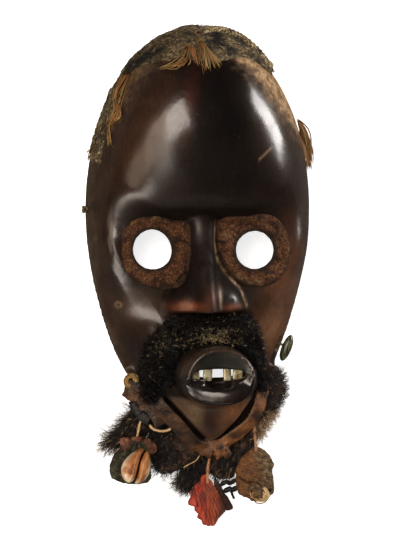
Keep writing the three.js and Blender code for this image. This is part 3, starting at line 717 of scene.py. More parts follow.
# Blotches of another colour, where a coarse noise lies between two levels
blotch, given, gives = new_effect("blotch", {
    "Place": None, "Colour": BLACK, "Stain": BLACK, "From": 0.5, "To": 0.6, "Amount": 1.0, "Scale": 100.0,
    "Detail": 3.0, "Distortion": 0.0,
}, {"Colour": "Color"})
coarse = noise(blotch, given["Place"], given["Scale"], given["Detail"], Distortion=given["Distortion"])
share = level(blotch, coarse, given["From"], given["To"], 0, given["Amount"])
blotch.links.new(blend(blotch, share, given["Colour"], given["Stain"]), gives["Colour"])


def blotched(tree, place, colour, layer_colour, start, end, amount, scale, detail=3, **more):
    """A colour with blotches of another colour."""
    return use(tree, blotch, Place=place, Colour=colour, Stain=layer_colour, From=start, To=end, Amount=amount, Scale=scale,
               Detail=detail, **more)["Colour"]


# Dirt and painted shade, where the points of a mesh keep a share of them
soil_and_shade, given, gives = new_effect("soil_and_shade", {"Colour": BLACK, "Soil": BLACK}, {"Colour": "Color"})
soil_and_shade.links.new(blend(soil_and_shade, kept(soil_and_shade, "soiled_and_shaded"), given["Colour"], given["Soil"]), gives["Colour"])


def finish_off(tree, shader, colour, height, distance, strength):
    """Puts a colour on a shader, and a relief from a height."""
    tree.links.new(colour, shader.inputs["Base Color"])
    relief = add(tree, "Bump", {"Height": height, "Distance": distance, "Strength": strength})
    tree.links.new(relief.outputs[0], shader.inputs["Normal"])


def felt_patch(name, middle_x, hole_x, hole_y, hole, outline, seed):
    """A ragged layer of felt between an eye hole and an outline."""
    angle = np.linspace(0, 2 * math.pi, 220, endpoint=False)[:, None]
    across = np.linspace(0, 1, 15)[None, :]
    ragged = grain(xyz(np.cos(angle) * 9, np.sin(angle) * 9, 0 * angle + seed), 1.6, 2) - 0.5
    inner = hole + 0.5 * ragged
    outer = reach(outline, middle_x, 0, angle) + 1.3 * ragged
    x = mix(hole_x + inner * np.cos(angle), middle_x + outer * np.cos(angle), across)
    y = mix(hole_y + inner * np.sin(angle), outer * np.sin(angle), across)
    place = on_wood(x, y)
    pills = grain(place, 1.5, 2, seed) - 0.5
    lumpy = grain(place, 5, 1, seed + 3) - 0.5
    edge = 1 - np.abs(2 * across - 1) ** 7
    thickness = (1.7 + 1.5 * lumpy + 1.7 * pills) * (0.35 + 0.65 * edge)
    return cover(name, place, np.maximum(thickness, 0.3), closed=True)[0]


felt, tree, shader, place = new_finish("matted_felt", 0.95, 0.2)
tone, fibre = speckled(tree, place, (0.34, (0.018, 0.0075, 0.0045)), (0.5, (0.076, 0.029, 0.012)),
                       (0.7, (0.21, 0.098, 0.043)), 950, Roughness=0.7)
tone = blotched(tree, place, tone, (0.15, 0.115, 0.055), 0.62, 0.72, 0.8, 170, 4, Distortion=0.8)
tone = blotched(tree, place, tone, (0.022, 0.010, 0.0065), 0.5, 0.36, 1, 170, 4, Distortion=0.8)
# Painted shade: the felt is darker at each hole and towards its outer edge
tone = use(tree, soil_and_shade, Colour=tone, Soil=(0.016, 0.009, 0.006))["Colour"]
finish_off(tree, shader, tone, fibre, 0.0005, 1.0)
for name, middle_x, hole_x, hole_y, hole, outline, seed in (
    ("eye_felt_left", -28.6, -30.4, 1.1, 11.6, LEFT_CLOTH, 1),
    ("eye_felt_right", 29.5, 29.7, 0.4, 11.1, RIGHT_CLOTH, 5),
):
    piece = felt_patch(name, middle_x, hole_x, hole_y, hole, outline, seed)

    def painted_felt_shade(place):
        """Darker at the hole and towards the outer edge."""
        away = np.hypot(place[:, 0] - hole_x, place[:, 1] - hole_y)
        turn = np.arctan2(place[:, 1], place[:, 0] - middle_x)
        share = away / reach(outline, middle_x, 0, turn) + 0.2 * (grain(place, 4, 2, seed) - 0.5)
        # Painted shade near the hole and towards the outer edge
        return {"soiled_and_shaded": clamp01(0.85 * smooth(15, 12.4, away) + 0.7 * smooth(0.86, 1.03, share))}

    paint(piece, painted_felt_shade)
    fit(piece, felt, "eye_cloth_left" if hole_x < 0 else "eye_cloth_right")

# ----------
# The teeth: four small plates of yellow metal, cut by hand and set upright in the open mouth.
# Each is a thin block with worn round corners that leans a little from its neighbours.
metal, tree, shader, place = new_finish("dull_brass", 0.42, Metallic=0.75)
scratch = noise(tree, place, 700, 5, Distortion=1.5)
tone, _ = speckled(tree, place, (0.35, (0.17, 0.13, 0.06)), (0.5, (0.42, 0.35, 0.2)), (0.65, (0.62, 0.57, 0.42)),
                   260, 3)
tree.links.new(level(tree, scratch, 0.3, 0.7, 0.28, 0.6), shader.inputs["Roughness"])
finish_off(tree, shader, tone, scratch, 0.00015, 0.7)
TEETH = [(-10.2, -5.6, 0.06), (-3.5, 1.8, -0.05), (8.2, 12.9, 0.04), (13.8, 19.8, -0.08)]
for number, (start, end, lean) in enumerate(TEETH, 1):
    tooth = blank(bpy.ops.mesh.primitive_cube_add, (start + end) / 2, SLIT_Y + 0.2, 50.1, size=1,
                  rotation=(0.08 * (-1) ** number, lean, lean), scale=((end - start) * MM, 8.4 * MM, 1.9 * MM))
    tooth.name = f"tooth_plate_{number}"
    bpy.ops.object.transform_apply(location=True, rotation=True, scale=True)
    apply_modifier(tooth, "BEVEL", width=1.5 * MM, segments=4, limit_method="ANGLE", affect="EDGES")
    apply_modifier(tooth, "SUBSURF", levels=1, render_levels=1)
    bpy.ops.object.shade_smooth()
    fit(tooth, metal, f"tooth_{number}")

# ----------
# The hair: a cap of matted, crusted plant fibre glued over the top of the dome, a strip of it down the left temple,
# and along the right edge a plaited cord that ends in a knot. Short dark and straw-coloured fibres lie over the mat.
CAP_EDGE = [(-44, 102.8), (-34.7, 108.4), (-26, 109.6), (-11, 111), (5.6, 109), (19, 113), (30.6, 110), (41.5, 102.8)]
STRIP_EDGE = [(-59.9, 51), (-59.2, 57), (-57.4, 66), (-55.6, 76), (-51.2, 85), (-48.6, 94), (-43.5, 102.6)]
RIM_TURN = math.radians(86)
DOME_RADIUS = 85.0


def dome_point(across, down):
    """A place on the upper half of the wood: an angle from the top, and an angle out from the middle."""
    x = HALF_WIDTH * np.sin(down) * np.sin(across)
    y = WIDEST + (TOP - WIDEST) * np.sin(down) * np.cos(across)
    return on_wood(x, y)


def dome_place(x, y):
    """The two angles of a place in plan on the dome."""
    side, up = np.asarray(x) / HALF_WIDTH, (np.asarray(y) - WIDEST) / (TOP - WIDEST)
    return np.arctan2(side, up), np.arcsin(clamp01(np.hypot(side, up)))


def dome_patch(edge, rows, columns, wobble, seed):
    """A table of places between an inner edge, given in plan, and the rim."""
    line = curve_through(edge, 200)
    across, inner = dome_place(line[:, 0], line[:, 1])
    turn = np.linspace(across[0], across[-1], rows)
    start = np.interp(turn, across, inner)
    start = start + wobble * (grain(xyz(turn * 60, 0 * turn, 0 * turn + seed), 2.2, 2) - 0.5)
    down = mix(start[:, None], RIM_TURN, np.linspace(0, 1, columns)[None, :])
    return np.repeat(turn[:, None], columns, axis=1), down


def strands(name, paths, radius, sides=3, flat=1.0, up=None, tone=None):
    """Many thin closed fibres, each along its own row of points, pointed at both ends.
    A fibre's number and the way along it are kept as attributes for its colour."""
    count, steps = paths.shape[:2]
    along = unit(np.gradient(paths, axis=1))
    up = np.array([0.31, 0.17, 0.93]) if up is None else np.asarray(up)
    if up.ndim == 2:
        up = up[:, None, :]
    across = unit(np.cross(along, np.broadcast_to(up, along.shape)))
    over = np.cross(across, along)
    radius = np.broadcast_to(np.asarray(radius, dtype=float), (count, steps))
    rings = []
    for side in range(sides):
        angle = 2 * math.pi * side / sides
        rings.append(paths + radius[..., None] * (math.cos(angle) * across + flat * math.sin(angle) * over))
    body = np.stack(rings, axis=2)[:, 1:-1]
    inner = steps - 2
    size = inner * sides + 2
    points = np.concatenate([paths[:, :1], body.reshape(count, -1, 3), paths[:, -1:]], axis=1)
    faces = ring_faces(inner, sides)
    corners = np.concatenate(faces)[None] + (np.arange(count) * size)[:, None]
    lengths = np.tile([len(face) for face in faces], count)
    mesh = bpy.data.meshes.new(name)
    placed = points.reshape(-1, 3) * MM + SHIFT
    mesh.vertices.add(len(placed))
    mesh.vertices.foreach_set("co", placed.ravel())
    mesh.loops.add(corners.size)
    mesh.loops.foreach_set("vertex_index", corners.ravel())
    mesh.polygons.add(len(lengths))
    mesh.polygons.foreach_set("loop_start", np.concatenate([[0], np.cumsum(lengths)[:-1]]))
    mesh.update(calc_edges=True)
    piece = put_up(name, mesh)
    tone = np.random.default_rng(len(name) + count).random(count) if tone is None else tone
    way = np.concatenate([[0], np.repeat(np.arange(1, steps - 1) / (steps - 1), sides), [1]])
    keep(mesh, tone=np.repeat(tone, size), along=np.tile(way, count))
    return piece


def mat_fibres(name, edge, count, rng, size, lift, radius):
    """Fibres that lie along the mat, each a short bent stroke with its tip a little free."""
    line = curve_through(edge, 200)
    across, inner = dome_place(line[:, 0], line[:, 1])
    turn = rng.uniform(across[0], across[-1], count)
    down = mix(np.interp(turn, across, inner) - 0.01, RIM_TURN, rng.random(count) ** 0.85)
    steps = np.linspace(-0.5, 0.5, 6)[None, :]
    length = rng.uniform(*size, count)[:, None]
    slope = rng.normal(0, 0.5, count)[:, None]
    bend = rng.normal(0, 0.35, count)[:, None]
    way = np.sign(rng.uniform(-1, 1, count))[:, None]
    a = turn[:, None] + way * steps * length / DOME_RADIUS
    d = down[:, None] + (slope * steps + bend * (2 * steps) ** 2 * 0.3) * length / DOME_RADIUS
    d = np.clip(d, 0.02, RIM_TURN + 0.03)
    base = dome_point(a, d)
    eps = 0.004
    normal = unit(np.cross(dome_point(a + eps, d) - base, dome_point(a, np.clip(d + eps, 0, 1.555)) - base))
    normal *= np.sign((normal * (base - (0, 40, -20))).sum(axis=-1, keepdims=True))
    height = rng.uniform(*lift, count)[:, None] + rng.uniform(0, 0.9, count)[:, None] * (steps + 0.5) ** 2
    paths = base + normal * height[..., None]
    profile = np.array([0, 0.9, 1, 1, 0.8, 0])[None, :] * rng.uniform(*radius, count)[:, None]
    clear = (near_band(paths[:, 3]) > 4.6) & (dark_gaps(paths[:, 3])["soiled_and_shaded"] < 0.45)
    return strands(name, paths[clear], profile[clear], up=normal[clear, 3])


BAND = [
    (-2, 126.4, 19.5), (4, 128.8, 16.8), (10, 129.2, 15.4), (16, 128.2, 15), (24.5, 124.4, 15.6), (33, 117, 17),
    (38, 110.6, 17.6), (40.6, 106.8, 17.6),
]


def near_band(points):
    """How far each place is from the line of the plaited cord."""
    line = curve_through(BAND, 60)
    return np.min(np.linalg.norm(np.asarray(points)[..., None, :] - line, axis=-1), axis=-1)


mat, tree, shader, place = new_finish("crusted_fibre_mat", 0.92, 0.3)
tone, speck = speckled(tree, place, (0.38, (0.016, 0.011, 0.007)), (0.5, (0.108, 0.074, 0.035)),
                       (0.63, (0.36, 0.265, 0.135)), 620, 5, Roughness=0.75)
tone = blotched(tree, place, tone, (0.014, 0.011, 0.010), 0.5, 0.38, 0.9, 110)
# Painted shade in the hollows of the mat
tone = use(tree, soil_and_shade, Colour=tone, Soil=(0.009, 0.007, 0.006))["Colour"]
finish_off(tree, shader, tone, speck, 0.0006, 1.0)
# The colour of a fibre from its root to its tip. It varies from one to the next, and the odd ones have their own
fibre, given, gives = new_effect("fibre", {
    "Root": BLACK, "Tip": BLACK, "From": 0.45, "To": 1.0, "Odd": BLACK, "Odd Above": 2.0, "Odd From": -1.0,
    "Odd To": -0.92, "Darkest": 1.0, "Lightest": 1.0,
}, {"Colour": "Color"})
along, number = kept(fibre, "along"), kept(fibre, "tone")
tone = blend(fibre, level(fibre, along, given["From"], given["To"]), given["Root"], given["Tip"])
odd = math_node(fibre, "GREATER_THAN", number, given["Odd Above"])
odd = math_node(fibre, "MULTIPLY", odd, level(fibre, along, given["Odd From"], given["Odd To"]))
shade = level(fibre, number, 0, 1, given["Darkest"], given["Lightest"])
tone = add(fibre, "HueSaturation", {"Color": blend(fibre, odd, tone, given["Odd"]), "Value": shade})
fibre.links.new(tone.outputs[0], gives["Colour"])


def strand_finish(name, root, tip, spread, roughness=0.75, odd=(0.0, 0.0, 0.0), odd_share=-1.0, from_tip=0.45,
                  odd_from=-1.0):
    """Fibres in the fibre's colours. The odd ones change past odd_from of their length."""
    material, tree, shader, place = new_finish(name, roughness, 0.3)
    made = use(tree, fibre, Root=root, Tip=tip, From=from_tip, Odd=odd, Odd_Above=1 - odd_share, Odd_From=odd_from,
               Odd_To=odd_from + 0.08, Darkest=1 - spread, Lightest=1 + spread)
    tree.links.new(made["Colour"], shader.inputs["Base Color"])
    return material


def dark_gaps(place):
    """Painted shade in the hollows of the mat: beside the plaited cord, round the tie and along the left side."""
    beside = np.exp(-((near_band(place) - 4.6) / 1.3) ** 2) * (place[:, 0] > 0)
    gaps = 1.3 * patch(place, -28.6, 116, 8, 2.6, 25) + 1.3 * patch(place, -39, 108.8, 7.5, 2.8, 35)
    gaps += 1.4 * patch(place, 7.6, 125, 6, 4)
    gaps += 0.8 * patch(place, 10, 119.5, 9, 2.4, -20) + 0.9 * patch(place, 37, 112, 3, 4)
    broken = smooth(0.24, 0.42, grain(place, 2.4, 2, 8))
    return {"soiled_and_shaded": clamp01(0.9 * beside + 0.95 * gaps * broken)}


cap_fibre = strand_finish("cap_fibres", (0.06, 0.043, 0.023), (0.13, 0.094, 0.05), 0.8,
                          odd=(0.24, 0.18, 0.10), odd_share=0.07)
rng = np.random.default_rng(7)
for name, node, edge, rows, columns, count in (
    ("hair_mat", "hair_cap", CAP_EDGE, 240, 48, 1700),
    ("temple_mat", "fibre_strip", STRIP_EDGE, 120, 34, 560),
):
    turn, down = dome_patch(edge, rows, columns, 0.035, len(name))
    place_on = dome_point(turn, down)
    across = np.linspace(0, 1, columns)[None, :]
    lumpy = grain(place_on, 4.5, 3, 2) - 0.5
    crust = grain(place_on, 1.2, 2, 4) - 0.5
    row_of, along_row = down * DOME_RADIUS / 1.9 + 0.6 * lumpy, turn * DOME_RADIUS
    cords = np.abs(np.sin(math.pi * row_of))
    plies = np.sin(2 * math.pi * (along_row / 1.5 + 0.8 * (row_of - np.floor(row_of)))) * cords
    depth = (1.5 if node == "hair_cap" else 0.9) + 2.4 * lumpy + 0.9 * crust + 0.55 * cords + 0.28 * plies
    thickness = np.maximum(depth, 0.25) * (0.25 + 0.75 * smooth(0, 0.12, across))
    thickness = thickness * (0.4 + 0.6 * smooth(1, 0.93, across))
    thickness = thickness * (0.15 + 0.85 * smooth(3.2, 6.5, near_band(place_on)))
    mat_piece = cover(name, place_on, thickness)[0]
    paint(mat_piece, dark_gaps)
    fit(mat_piece, mat, node)
    loose = mat_fibres(name + "_fibres", edge, count, rng, (2.5, 6), (0.8, 2.1) if node == "hair_cap" else (0.5, 1.5),
                       (0.10, 0.19))
    fit(loose, cap_fibre)


def sweep(name, route, outline, rows=80, around=16, up=(0, 0, 1), close=0.05, tint=None):
    """A solid along a smooth route. outline(s, angle) gives its offsets across and up in mm, tint(s, angle) a tone."""
    path = curve_through(route, rows)
    along = unit(np.gradient(path, axis=0))
    up = up(path) if callable(up) else np.broadcast_to(np.asarray(up, dtype=float), path.shape)
    across = unit(np.cross(along, up))
    over = np.cross(across, along)
    s = np.linspace(0, 1, rows)[:, None]
    angle = np.linspace(0, 2 * math.pi, around, endpoint=False)[None, :]
    wide, high = outline(s, angle)
    end = np.sqrt(clamp01(1 - np.maximum(0, 1 - np.minimum(s, 1 - s) / close) ** 2)) if close else 1.0
    ring = path[:, None] + (end * wide)[..., None] * across[:, None] + (end * high)[..., None] * over[:, None]
    points = np.concatenate([path[:1], ring[1:-1].reshape(-1, 3), path[-1:]])
    way = np.concatenate([[0], np.repeat(s[1:-1, 0], around), [1]])
    shade = np.zeros((rows, around)) if tint is None else np.broadcast_to(tint(s, angle), (rows, around))
    shade = np.concatenate([[shade[0].mean()], shade[1:-1].ravel(), [shade[-1].mean()]])
    return new_object(name, points, ring_faces(rows - 2, around), along=way, tone=shade)


def join_up(name, first, *others):
    """Joins pieces to one."""
    deselect()
    for other in (first, *others):
        other.select_set(True)
    bpy.context.view_layer.objects.active = first
    bpy.ops.object.join()
    first.name = name
    return first


PLAIT_TURNS = 9


def plait_route(part, steps=240):
    """One of three strands that pass over and under each other along the band."""
    path = curve_through(BAND, steps)
    out = unit(path - np.array([0, 60, 0]))
    across = unit(np.cross(unit(np.gradient(path, axis=0)), out))
    turn = np.linspace(0, 2 * math.pi * PLAIT_TURNS, steps) + 2 * math.pi * part / 3
    return path + across * (2.1 * np.sin(turn))[:, None] + out * (0.9 * np.sin(2 * turn) + 0.6)[:, None]


def corded(size, plies, turns, groove=0.18):
    """A twisted cord's outline."""
    def outline(s, angle):
        radius = size * (1 - groove + groove * np.abs(np.cos(plies * (angle - 2 * math.pi * turns * s) / 2)))
        return radius * np.cos(angle), radius * np.sin(angle)
    return outline


parts = [sweep(f"plait_{k}", plait_route(k), corded(1.55, 4, 26, 0.3), rows=240, around=12, close=0.01)
         for k in range(3)]
knot_turns = []
for k in range(3):
    angle = np.linspace(0, 2 * math.pi, 14) + k
    centre = np.array([39.6, 108.2, 17.6])
    ring = xyz(2.5 * np.cos(angle), 2.3 * np.sin(angle), 1.1 * np.sin(angle * 2 + k))
    tilt = Matrix.Rotation(k * 1.1, 3, "X") @ Matrix.Rotation(k * 0.8, 3, "Y")
    knot_turns.append(sweep(f"knot_{k}", centre + ring @ np.array(tilt).T, corded(1.25, 3, 7), rows=60, around=10))
plait = join_up("plaited_cord", *parts, *knot_turns)
cordage, tree, shader, place = new_finish("old_cord", 0.9, 0.3)
tone, fine = speckled(tree, place, (0.38, (0.045, 0.031, 0.016)), (0.5, (0.22, 0.16, 0.08)),
                      (0.64, (0.50, 0.385, 0.22)), 800)
finish_off(tree, shader, blotched(tree, place, tone, (0.03, 0.022, 0.015), 0.5, 0.36, 1, 150, 2), fine, 0.0004, 0.9)
fit(plait, cordage, "plaited_band")

# ----------
# Loose raffia: a fan tied at the top of the cap, a frayed strand that loops down the left temple,
# and a torn tuft at the right rim. They are split palm fibres, flat, golden and dry.
raffia = strand_finish("split_raffia", (0.21, 0.105, 0.03), (0.40, 0.25, 0.085), 0.55, odd=(0.15, 0.058, 0.016),
                       odd_share=0.42, from_tip=0.2)


def straws(name, starts, ends, count, sag, size, rng, lift=0.0, bow=1.0):
    """Flat fibres from near one line to near another, each with its own bend."""
    starts, ends = np.array(starts, dtype=float), np.array(ends, dtype=float)
    share = rng.random(count)
    pick = share * (len(starts) - 1)
    i = np.minimum(pick.astype(int), len(starts) - 2)
    a = mix(starts[i], starts[i + 1], (pick - i)[:, None]) + rng.normal(0, 0.5, (count, 3))
    pick = np.clip(share + rng.normal(0, 0.12, count), 0, 1) * (len(ends) - 1)
    i = np.minimum(pick.astype(int), len(ends) - 2)
    b = mix(ends[i], ends[i + 1], (pick - i)[:, None]) + rng.normal(0, 0.9, (count, 3))
    steps = 9
    t = np.linspace(0, 1, steps)[None, :, None]
    paths = a[:, None] * (1 - t) + b[:, None] * t
    bend = np.array(sag) + rng.normal(0, bow, (count, 3))
    paths = paths + bend[:, None] * np.sin(np.pi * t)
    ripple = np.sin(np.pi * t * rng.uniform(2, 4, count)[:, None, None] + rng.uniform(0, 6, count)[:, None, None])
    paths = paths + ripple * rng.normal(0, 0.4, (count, 3))[:, None] * t
    on = wood_height(paths[..., 0], paths[..., 1])
    on = np.where(on > 1, on, -9)
    floor_at = on + lift + rng.uniform(0.2, 1.6, count)[:, None]
    paths[..., 2] = np.maximum(paths[..., 2], np.maximum(floor_at, 0.6))
    profile = np.array([0] + [1] * (steps - 3) + [0.6, 0])
    return strands(name, paths, profile[None, :] * rng.uniform(*size, count)[:, None], sides=4, flat=0.35)


rng = np.random.default_rng(21)
tie_parts = [
    straws("tie_fan", [(-3.9, 122, 36), (-3.1, 122, 36)],
           [(-2.4, 103.6, 45), (1.4, 104.8, 45), (4.6, 106, 44), (8.4, 107.4, 42)],
           19, (0.6, 0.6, 1.2), (0.2, 0.42), rng, lift=2.2, bow=0.6),
    straws("tie_left", [(-11.8, 119, 36), (-10.4, 118.4, 37)], [(-29, 104.8, 41), (-22, 106.6, 42), (-15, 108.4, 42)],
           22, (2.6, -2.6, 0.8), (0.18, 0.42), rng, lift=0.8),
    straws("tie_middle", [(-11.4, 118, 37), (-4, 120, 36)], [(-11, 108, 43), (-2, 106.6, 44)],
           15, (0, 0, 0.8), (0.2, 0.5), rng, lift=1.8, bow=1.8),
]
angle = np.linspace(-1.0, 3.6, 12)
ring_x, ring_y = -2.6 + 2.0 * np.cos(angle), 126.6 + 2.0 * np.sin(angle)
tie_parts.append(sweep("tie_loop", on_wood(ring_x, ring_y, 3.4), corded(0.75, 2, 6, 0.3), rows=70, around=10))
for number, (x, y) in enumerate(((-3.6, 122.4), (-11.2, 119.2))):
    knot = on_wood(x + np.array([-2, -0.6, 0.8, 1.9]), y + np.array([0.6, -0.5, 0.5, -0.4]), 2.8)
    tie_parts.append(sweep(f"tie_knot_{number}", knot, corded(1.0, 3, 3, 0.3), rows=40, around=12))
fit(join_up("raffia_fan", *tie_parts), raffia, "raffia_tie")

curl_parts = [
    straws("curl_down", [(-45.5, 104.5, 19), (-41.5, 104, 22)], [(-52, 85, 21), (-50.5, 82, 23)],
           16, (-1.8, 0, 1.2), (0.3, 0.55), rng, lift=1.2),
    straws("curl_lower", [(-51.5, 89, 20), (-50, 86, 22)], [(-53, 76, 23), (-57.5, 73, 19)],
           14, (2.6, -1, 1.0), (0.25, 0.5), rng, lift=1.2),
    straws("curl_strand", [(-55.5, 76, 20), (-54.5, 76, 21)], [(-56.4, 62, 21), (-55.4, 60, 22)],
           6, (-0.8, 0, 0.8), (0.25, 0.45), rng, lift=1.0),
    straws("curl_splinter", [(-63, 63, 12), (-62.6, 61, 12.5)], [(-66.8, 58, 9), (-66.2, 55.5, 9)],
           6, (0, 0, 0.4), (0.3, 0.55), rng),
]
for k, (x, y, half_x, half_y) in enumerate(((-53.3, 84.5, 1.7, 7.5), (-54.8, 79, 1.5, 5.6), (-52.6, 90, 1.3, 5.5))):
    angle = np.linspace(0, 2 * math.pi * 0.93, 14) + 0.6 * k
    ring_x, ring_y = x + half_x * np.cos(angle) + 0.18 * half_y * np.sin(angle), y + half_y * np.sin(angle)
    ring = on_wood(ring_x, ring_y, 2.0 + 0.5 * np.cos(2 * angle))
    curl_parts.append(sweep(f"curl_loop_{k}", ring, corded(0.5, 2, 9, 0.3), rows=60, around=8))
fit(join_up("raffia_strand", *curl_parts), raffia, "raffia_curl")

fit(join_up(
    "raffia_tear",
    straws("tuft_a", [(58.5, 78, 12), (59.8, 76, 10)], [(64.6, 56, 11), (68.6, 50, 8)],
           30, (1.0, 1, 0.6), (0.3, 0.6), rng),
    straws("tuft_b", [(60, 72, 12), (61, 70, 10)], [(65.4, 50, 11), (66.6, 46, 9)],
           16, (0.8, 0, 0.4), (0.3, 0.5), rng),
), raffia, "raffia_tuft")

# ----------
# At the rim: a knot of blackened cord that plugs the upper left lacing hole, and at the right jaw
# a smooth olive seed that hangs as a toggle on a thread through the slot.
angle = np.linspace(0, 4.2 * math.pi, 26)
coil = xyz(-68.2 + 1.1 * np.cos(angle * 0.5), 24 + 1.5 * np.sin(angle), 9 + 1.5 * np.cos(angle))
rim_knot = sweep("cord_knot", coil, corded(0.85, 3, 9, 0.3), rows=110, around=10, up=(0.2, 0.3, 0.93))
fit(rim_knot, mat, "rim_knot")


def seed_outline(s, angle):
    """An oval seed with a seam along its side."""
    across = 3.0 * np.sqrt(clamp01(1 - (2 * s - 1) ** 2)) ** 1.1
    seam = 1 - 0.07 * np.exp(-(np.sin(angle / 2 - 0.5) / 0.06) ** 2)
    return across * seam * np.cos(angle), 0.95 * across * seam * np.sin(angle)


toggle = sweep("seed_toggle", [(49.8, -67.2, 9), (51.6, -62.4, 9.2), (54, -56.6, 9.1), (55.8, -51.6, 9)],
               seed_outline, rows=60, around=32, close=0)
husk, tree, shader, place = new_finish("olive_seed", 0.34, Coat_Weight=0.3, Coat_Roughness=0.2)
streak = add(tree, "Mapping", {"Vector": place, "Rotation": (0, 0, -0.37), "Scale": (4, 1, 4)}).outputs[0]
tone, vein = speckled(tree, streak, (0.38, (0.012, 0.013, 0.006)), (0.52, (0.05, 0.052, 0.02)),
                      (0.68, (0.17, 0.155, 0.06)), 190)
finish_off(tree, shader, tone, vein, 0.0002, 0.5)
fit(toggle, husk, "toggle")
thread = sweep("toggle_cord", [(52.4, -58.6, 8.4), (50.6, -57.6, 6.4), (47.4, -57, 5.3), (42, -57, 5.3)],
               corded(0.75, 2, 8, 0.25), rows=50, around=10)
fit(thread, mat, "toggle_thread")

# ----------
# The moustache: a strip of hide with short, tight black curls, glued in an arch round the mouth.
# The hide is a lumpy dark layer on the wood, and the curls stand out of it. A few, most of them above the mouth, turn
# gold past the middle of their length.
MOUSTACHE = [
    (-18, -37.6), (0, -37.4), (22.4, -37.2), (29.7, -42), (32.2, -50), (32.9, -66), (31.3, -79.6),
    (10, -84), (-21, -90), (-31, -89.2), (-35.4, -85.6), (-36, -73.6), (-33.6, -56), (-27, -45),
]
ARCH_START, ARCH_END = math.radians(-17), math.radians(206)


def moustache_place(angle, across):
    hole = 1 / np.hypot(np.cos(angle) / (MOUTH_HALF_X + 0.3), np.sin(angle) / (MOUTH_HALF_Y + 0.3))
    out = reach(MOUSTACHE, MOUTH_X, MOUTH_Y, angle)
    away = mix(hole, np.maximum(out, hole + 3), across)
    return MOUTH_X + away * np.cos(angle), MOUTH_Y + away * np.sin(angle)


angle, across = np.meshgrid(np.linspace(ARCH_START, ARCH_END, 200), np.linspace(0, 1, 27), indexing="ij")
x, y = moustache_place(angle, across)
bed = xyz(x, y, base_height(out_share(x, y), y))
lumpy = grain(bed, 4.0, 3, 6) - 0.5
depth = (3.4 + 4.5 * lumpy) * smooth(0, 0.1, across) * smooth(1, 0.86, across) * smooth(0, 0.05, (angle - ARCH_START))
hide_strip, hide_top, hide_normal = cover("moustache_hide", bed, np.maximum(depth, 0.4), sink=0.5)
hide, tree, shader, place = new_finish("dark_hide", 0.9, 0.3)
tone, pore = speckled(tree, place, (0.35, (0.006, 0.005, 0.005)), (0.7, (0.035, 0.024, 0.017)),
                      (0.71, (0.035, 0.024, 0.017)), 500)
finish_off(tree, shader, tone, pore, 0.0006, 1.0)
fit(hide_strip, hide, "moustache")


def curls(name, roots, outwards, lean, length, width, turns, radius, rng, tone):
    """Short hairs that wind into loose curls as they leave the hide."""
    count, steps = len(roots), 7
    way = unit(unit(outwards) + lean + rng.normal(0, 0.45, (count, 3)))
    side = unit(np.cross(way, rng.normal(0, 1, (count, 3))))
    other = np.cross(way, side)
    t = np.linspace(0, 1, steps)[None, :]
    turn = 2 * math.pi * rng.uniform(*turns, count)[:, None] * t + rng.uniform(0, 6.3, count)[:, None]
    size = rng.uniform(*width, count)[:, None] * np.minimum(1, 2.5 * t)
    long = rng.uniform(*length, count)[:, None] * t
    paths = (roots[:, None] + way[:, None] * long[..., None] + side[:, None] * (size * np.cos(turn))[..., None]
             + other[:, None] * (size * np.sin(turn))[..., None])
    paths[..., 2] = np.maximum(paths[..., 2], 0.4)
    profile = np.array([0] + [1] * (steps - 3) + [0.7, 0])
    return strands(name, paths, profile[None, :] * rng.uniform(*radius, count)[:, None], up=side, tone=tone)


rng = np.random.default_rng(5)
CURLS = 3700
pick_a, pick_t = rng.integers(2, 198, CURLS), rng.integers(1, 26, CURLS)
roots = hide_top[pick_a, pick_t] + rng.normal(0, 0.5, (CURLS, 3)) - hide_normal[pick_a, pick_t] * 0.4
golden = np.exp(-(((roots[:, 0] - 5) / 11) ** 2 + ((roots[:, 1] + 52.5) / 5.5) ** 2)) * 0.8
golden += np.exp(-(((roots[:, 0] + 20) / 7) ** 2 + ((roots[:, 1] + 57) / 5) ** 2)) * 0.6 + 0.015
tone = np.where(rng.random(CURLS) < golden, rng.uniform(0.9, 1, CURLS), rng.uniform(0, 0.88, CURLS))
radial = xyz(roots[:, 0] - MOUTH_X, roots[:, 1] - MOUTH_Y, 0 * roots[:, 0]) / 70
outwards = hide_normal[pick_a, pick_t]
# Two thicker locks lie over the ends of the chin strap, a third leans on the left side of the lips
for x, y, top, half_x, half_y, extra in ((-29.5, -83, 27, 7.5, 6.5, 480), (35.4, -79, 25, 4.5, 6, 240),
                                           (-20.4, -66, 41.5, 3.8, 13, 420)):
    turn, away = rng.uniform(0, 2 * math.pi, extra), np.sqrt(rng.random(extra))
    lock = xyz(x + half_x * away * np.cos(turn), y + half_y * away * np.sin(turn), top - 6 * away ** 2)
    lean = xyz(0.5 * away * np.cos(turn), 0.5 * away * np.sin(turn), 1 + 0 * turn)
    roots, outwards = np.concatenate([roots, lock]), np.concatenate([outwards, lean])
    radial, tone = np.concatenate([radial, 0 * lock]), np.concatenate([tone, rng.uniform(0, 0.9, extra)])
moustache = curls("moustache_curls", roots, outwards, radial, (2.6, 5.2), (0.5, 1.15), (0.8, 1.7),
                  (0.14, 0.22), rng, tone)
black_curl = strand_finish("black_curls", (0.004, 0.0035, 0.0035), (0.010, 0.0085, 0.0075), 0.6, roughness=0.38,
                           odd=(0.24, 0.18, 0.095), odd_share=0.1, odd_from=0.55)
fit(moustache, black_curl)

# ----------
# The chin strap: a strip of brown leather from jaw to jaw, stiff and cracked, with a worn rolled edge next
# to the chin. Its two arms are knotted below the chin, and a thin lace is wound round the right arm.
STRAP = [
    (-32, -84.5, 19), (-29, -88, 22.5), (-25.5, -92, 24.4), (-20.2, -98, 23), (-14.6, -104, 21), (-2.6, -116.4, 13),
    (8.6, -119, 9.5), (18.6, -113.6, 12), (29.2, -103.6, 17), (34.6, -93, 21.5), (37, -82, 20), (38.5, -76, 13),
]


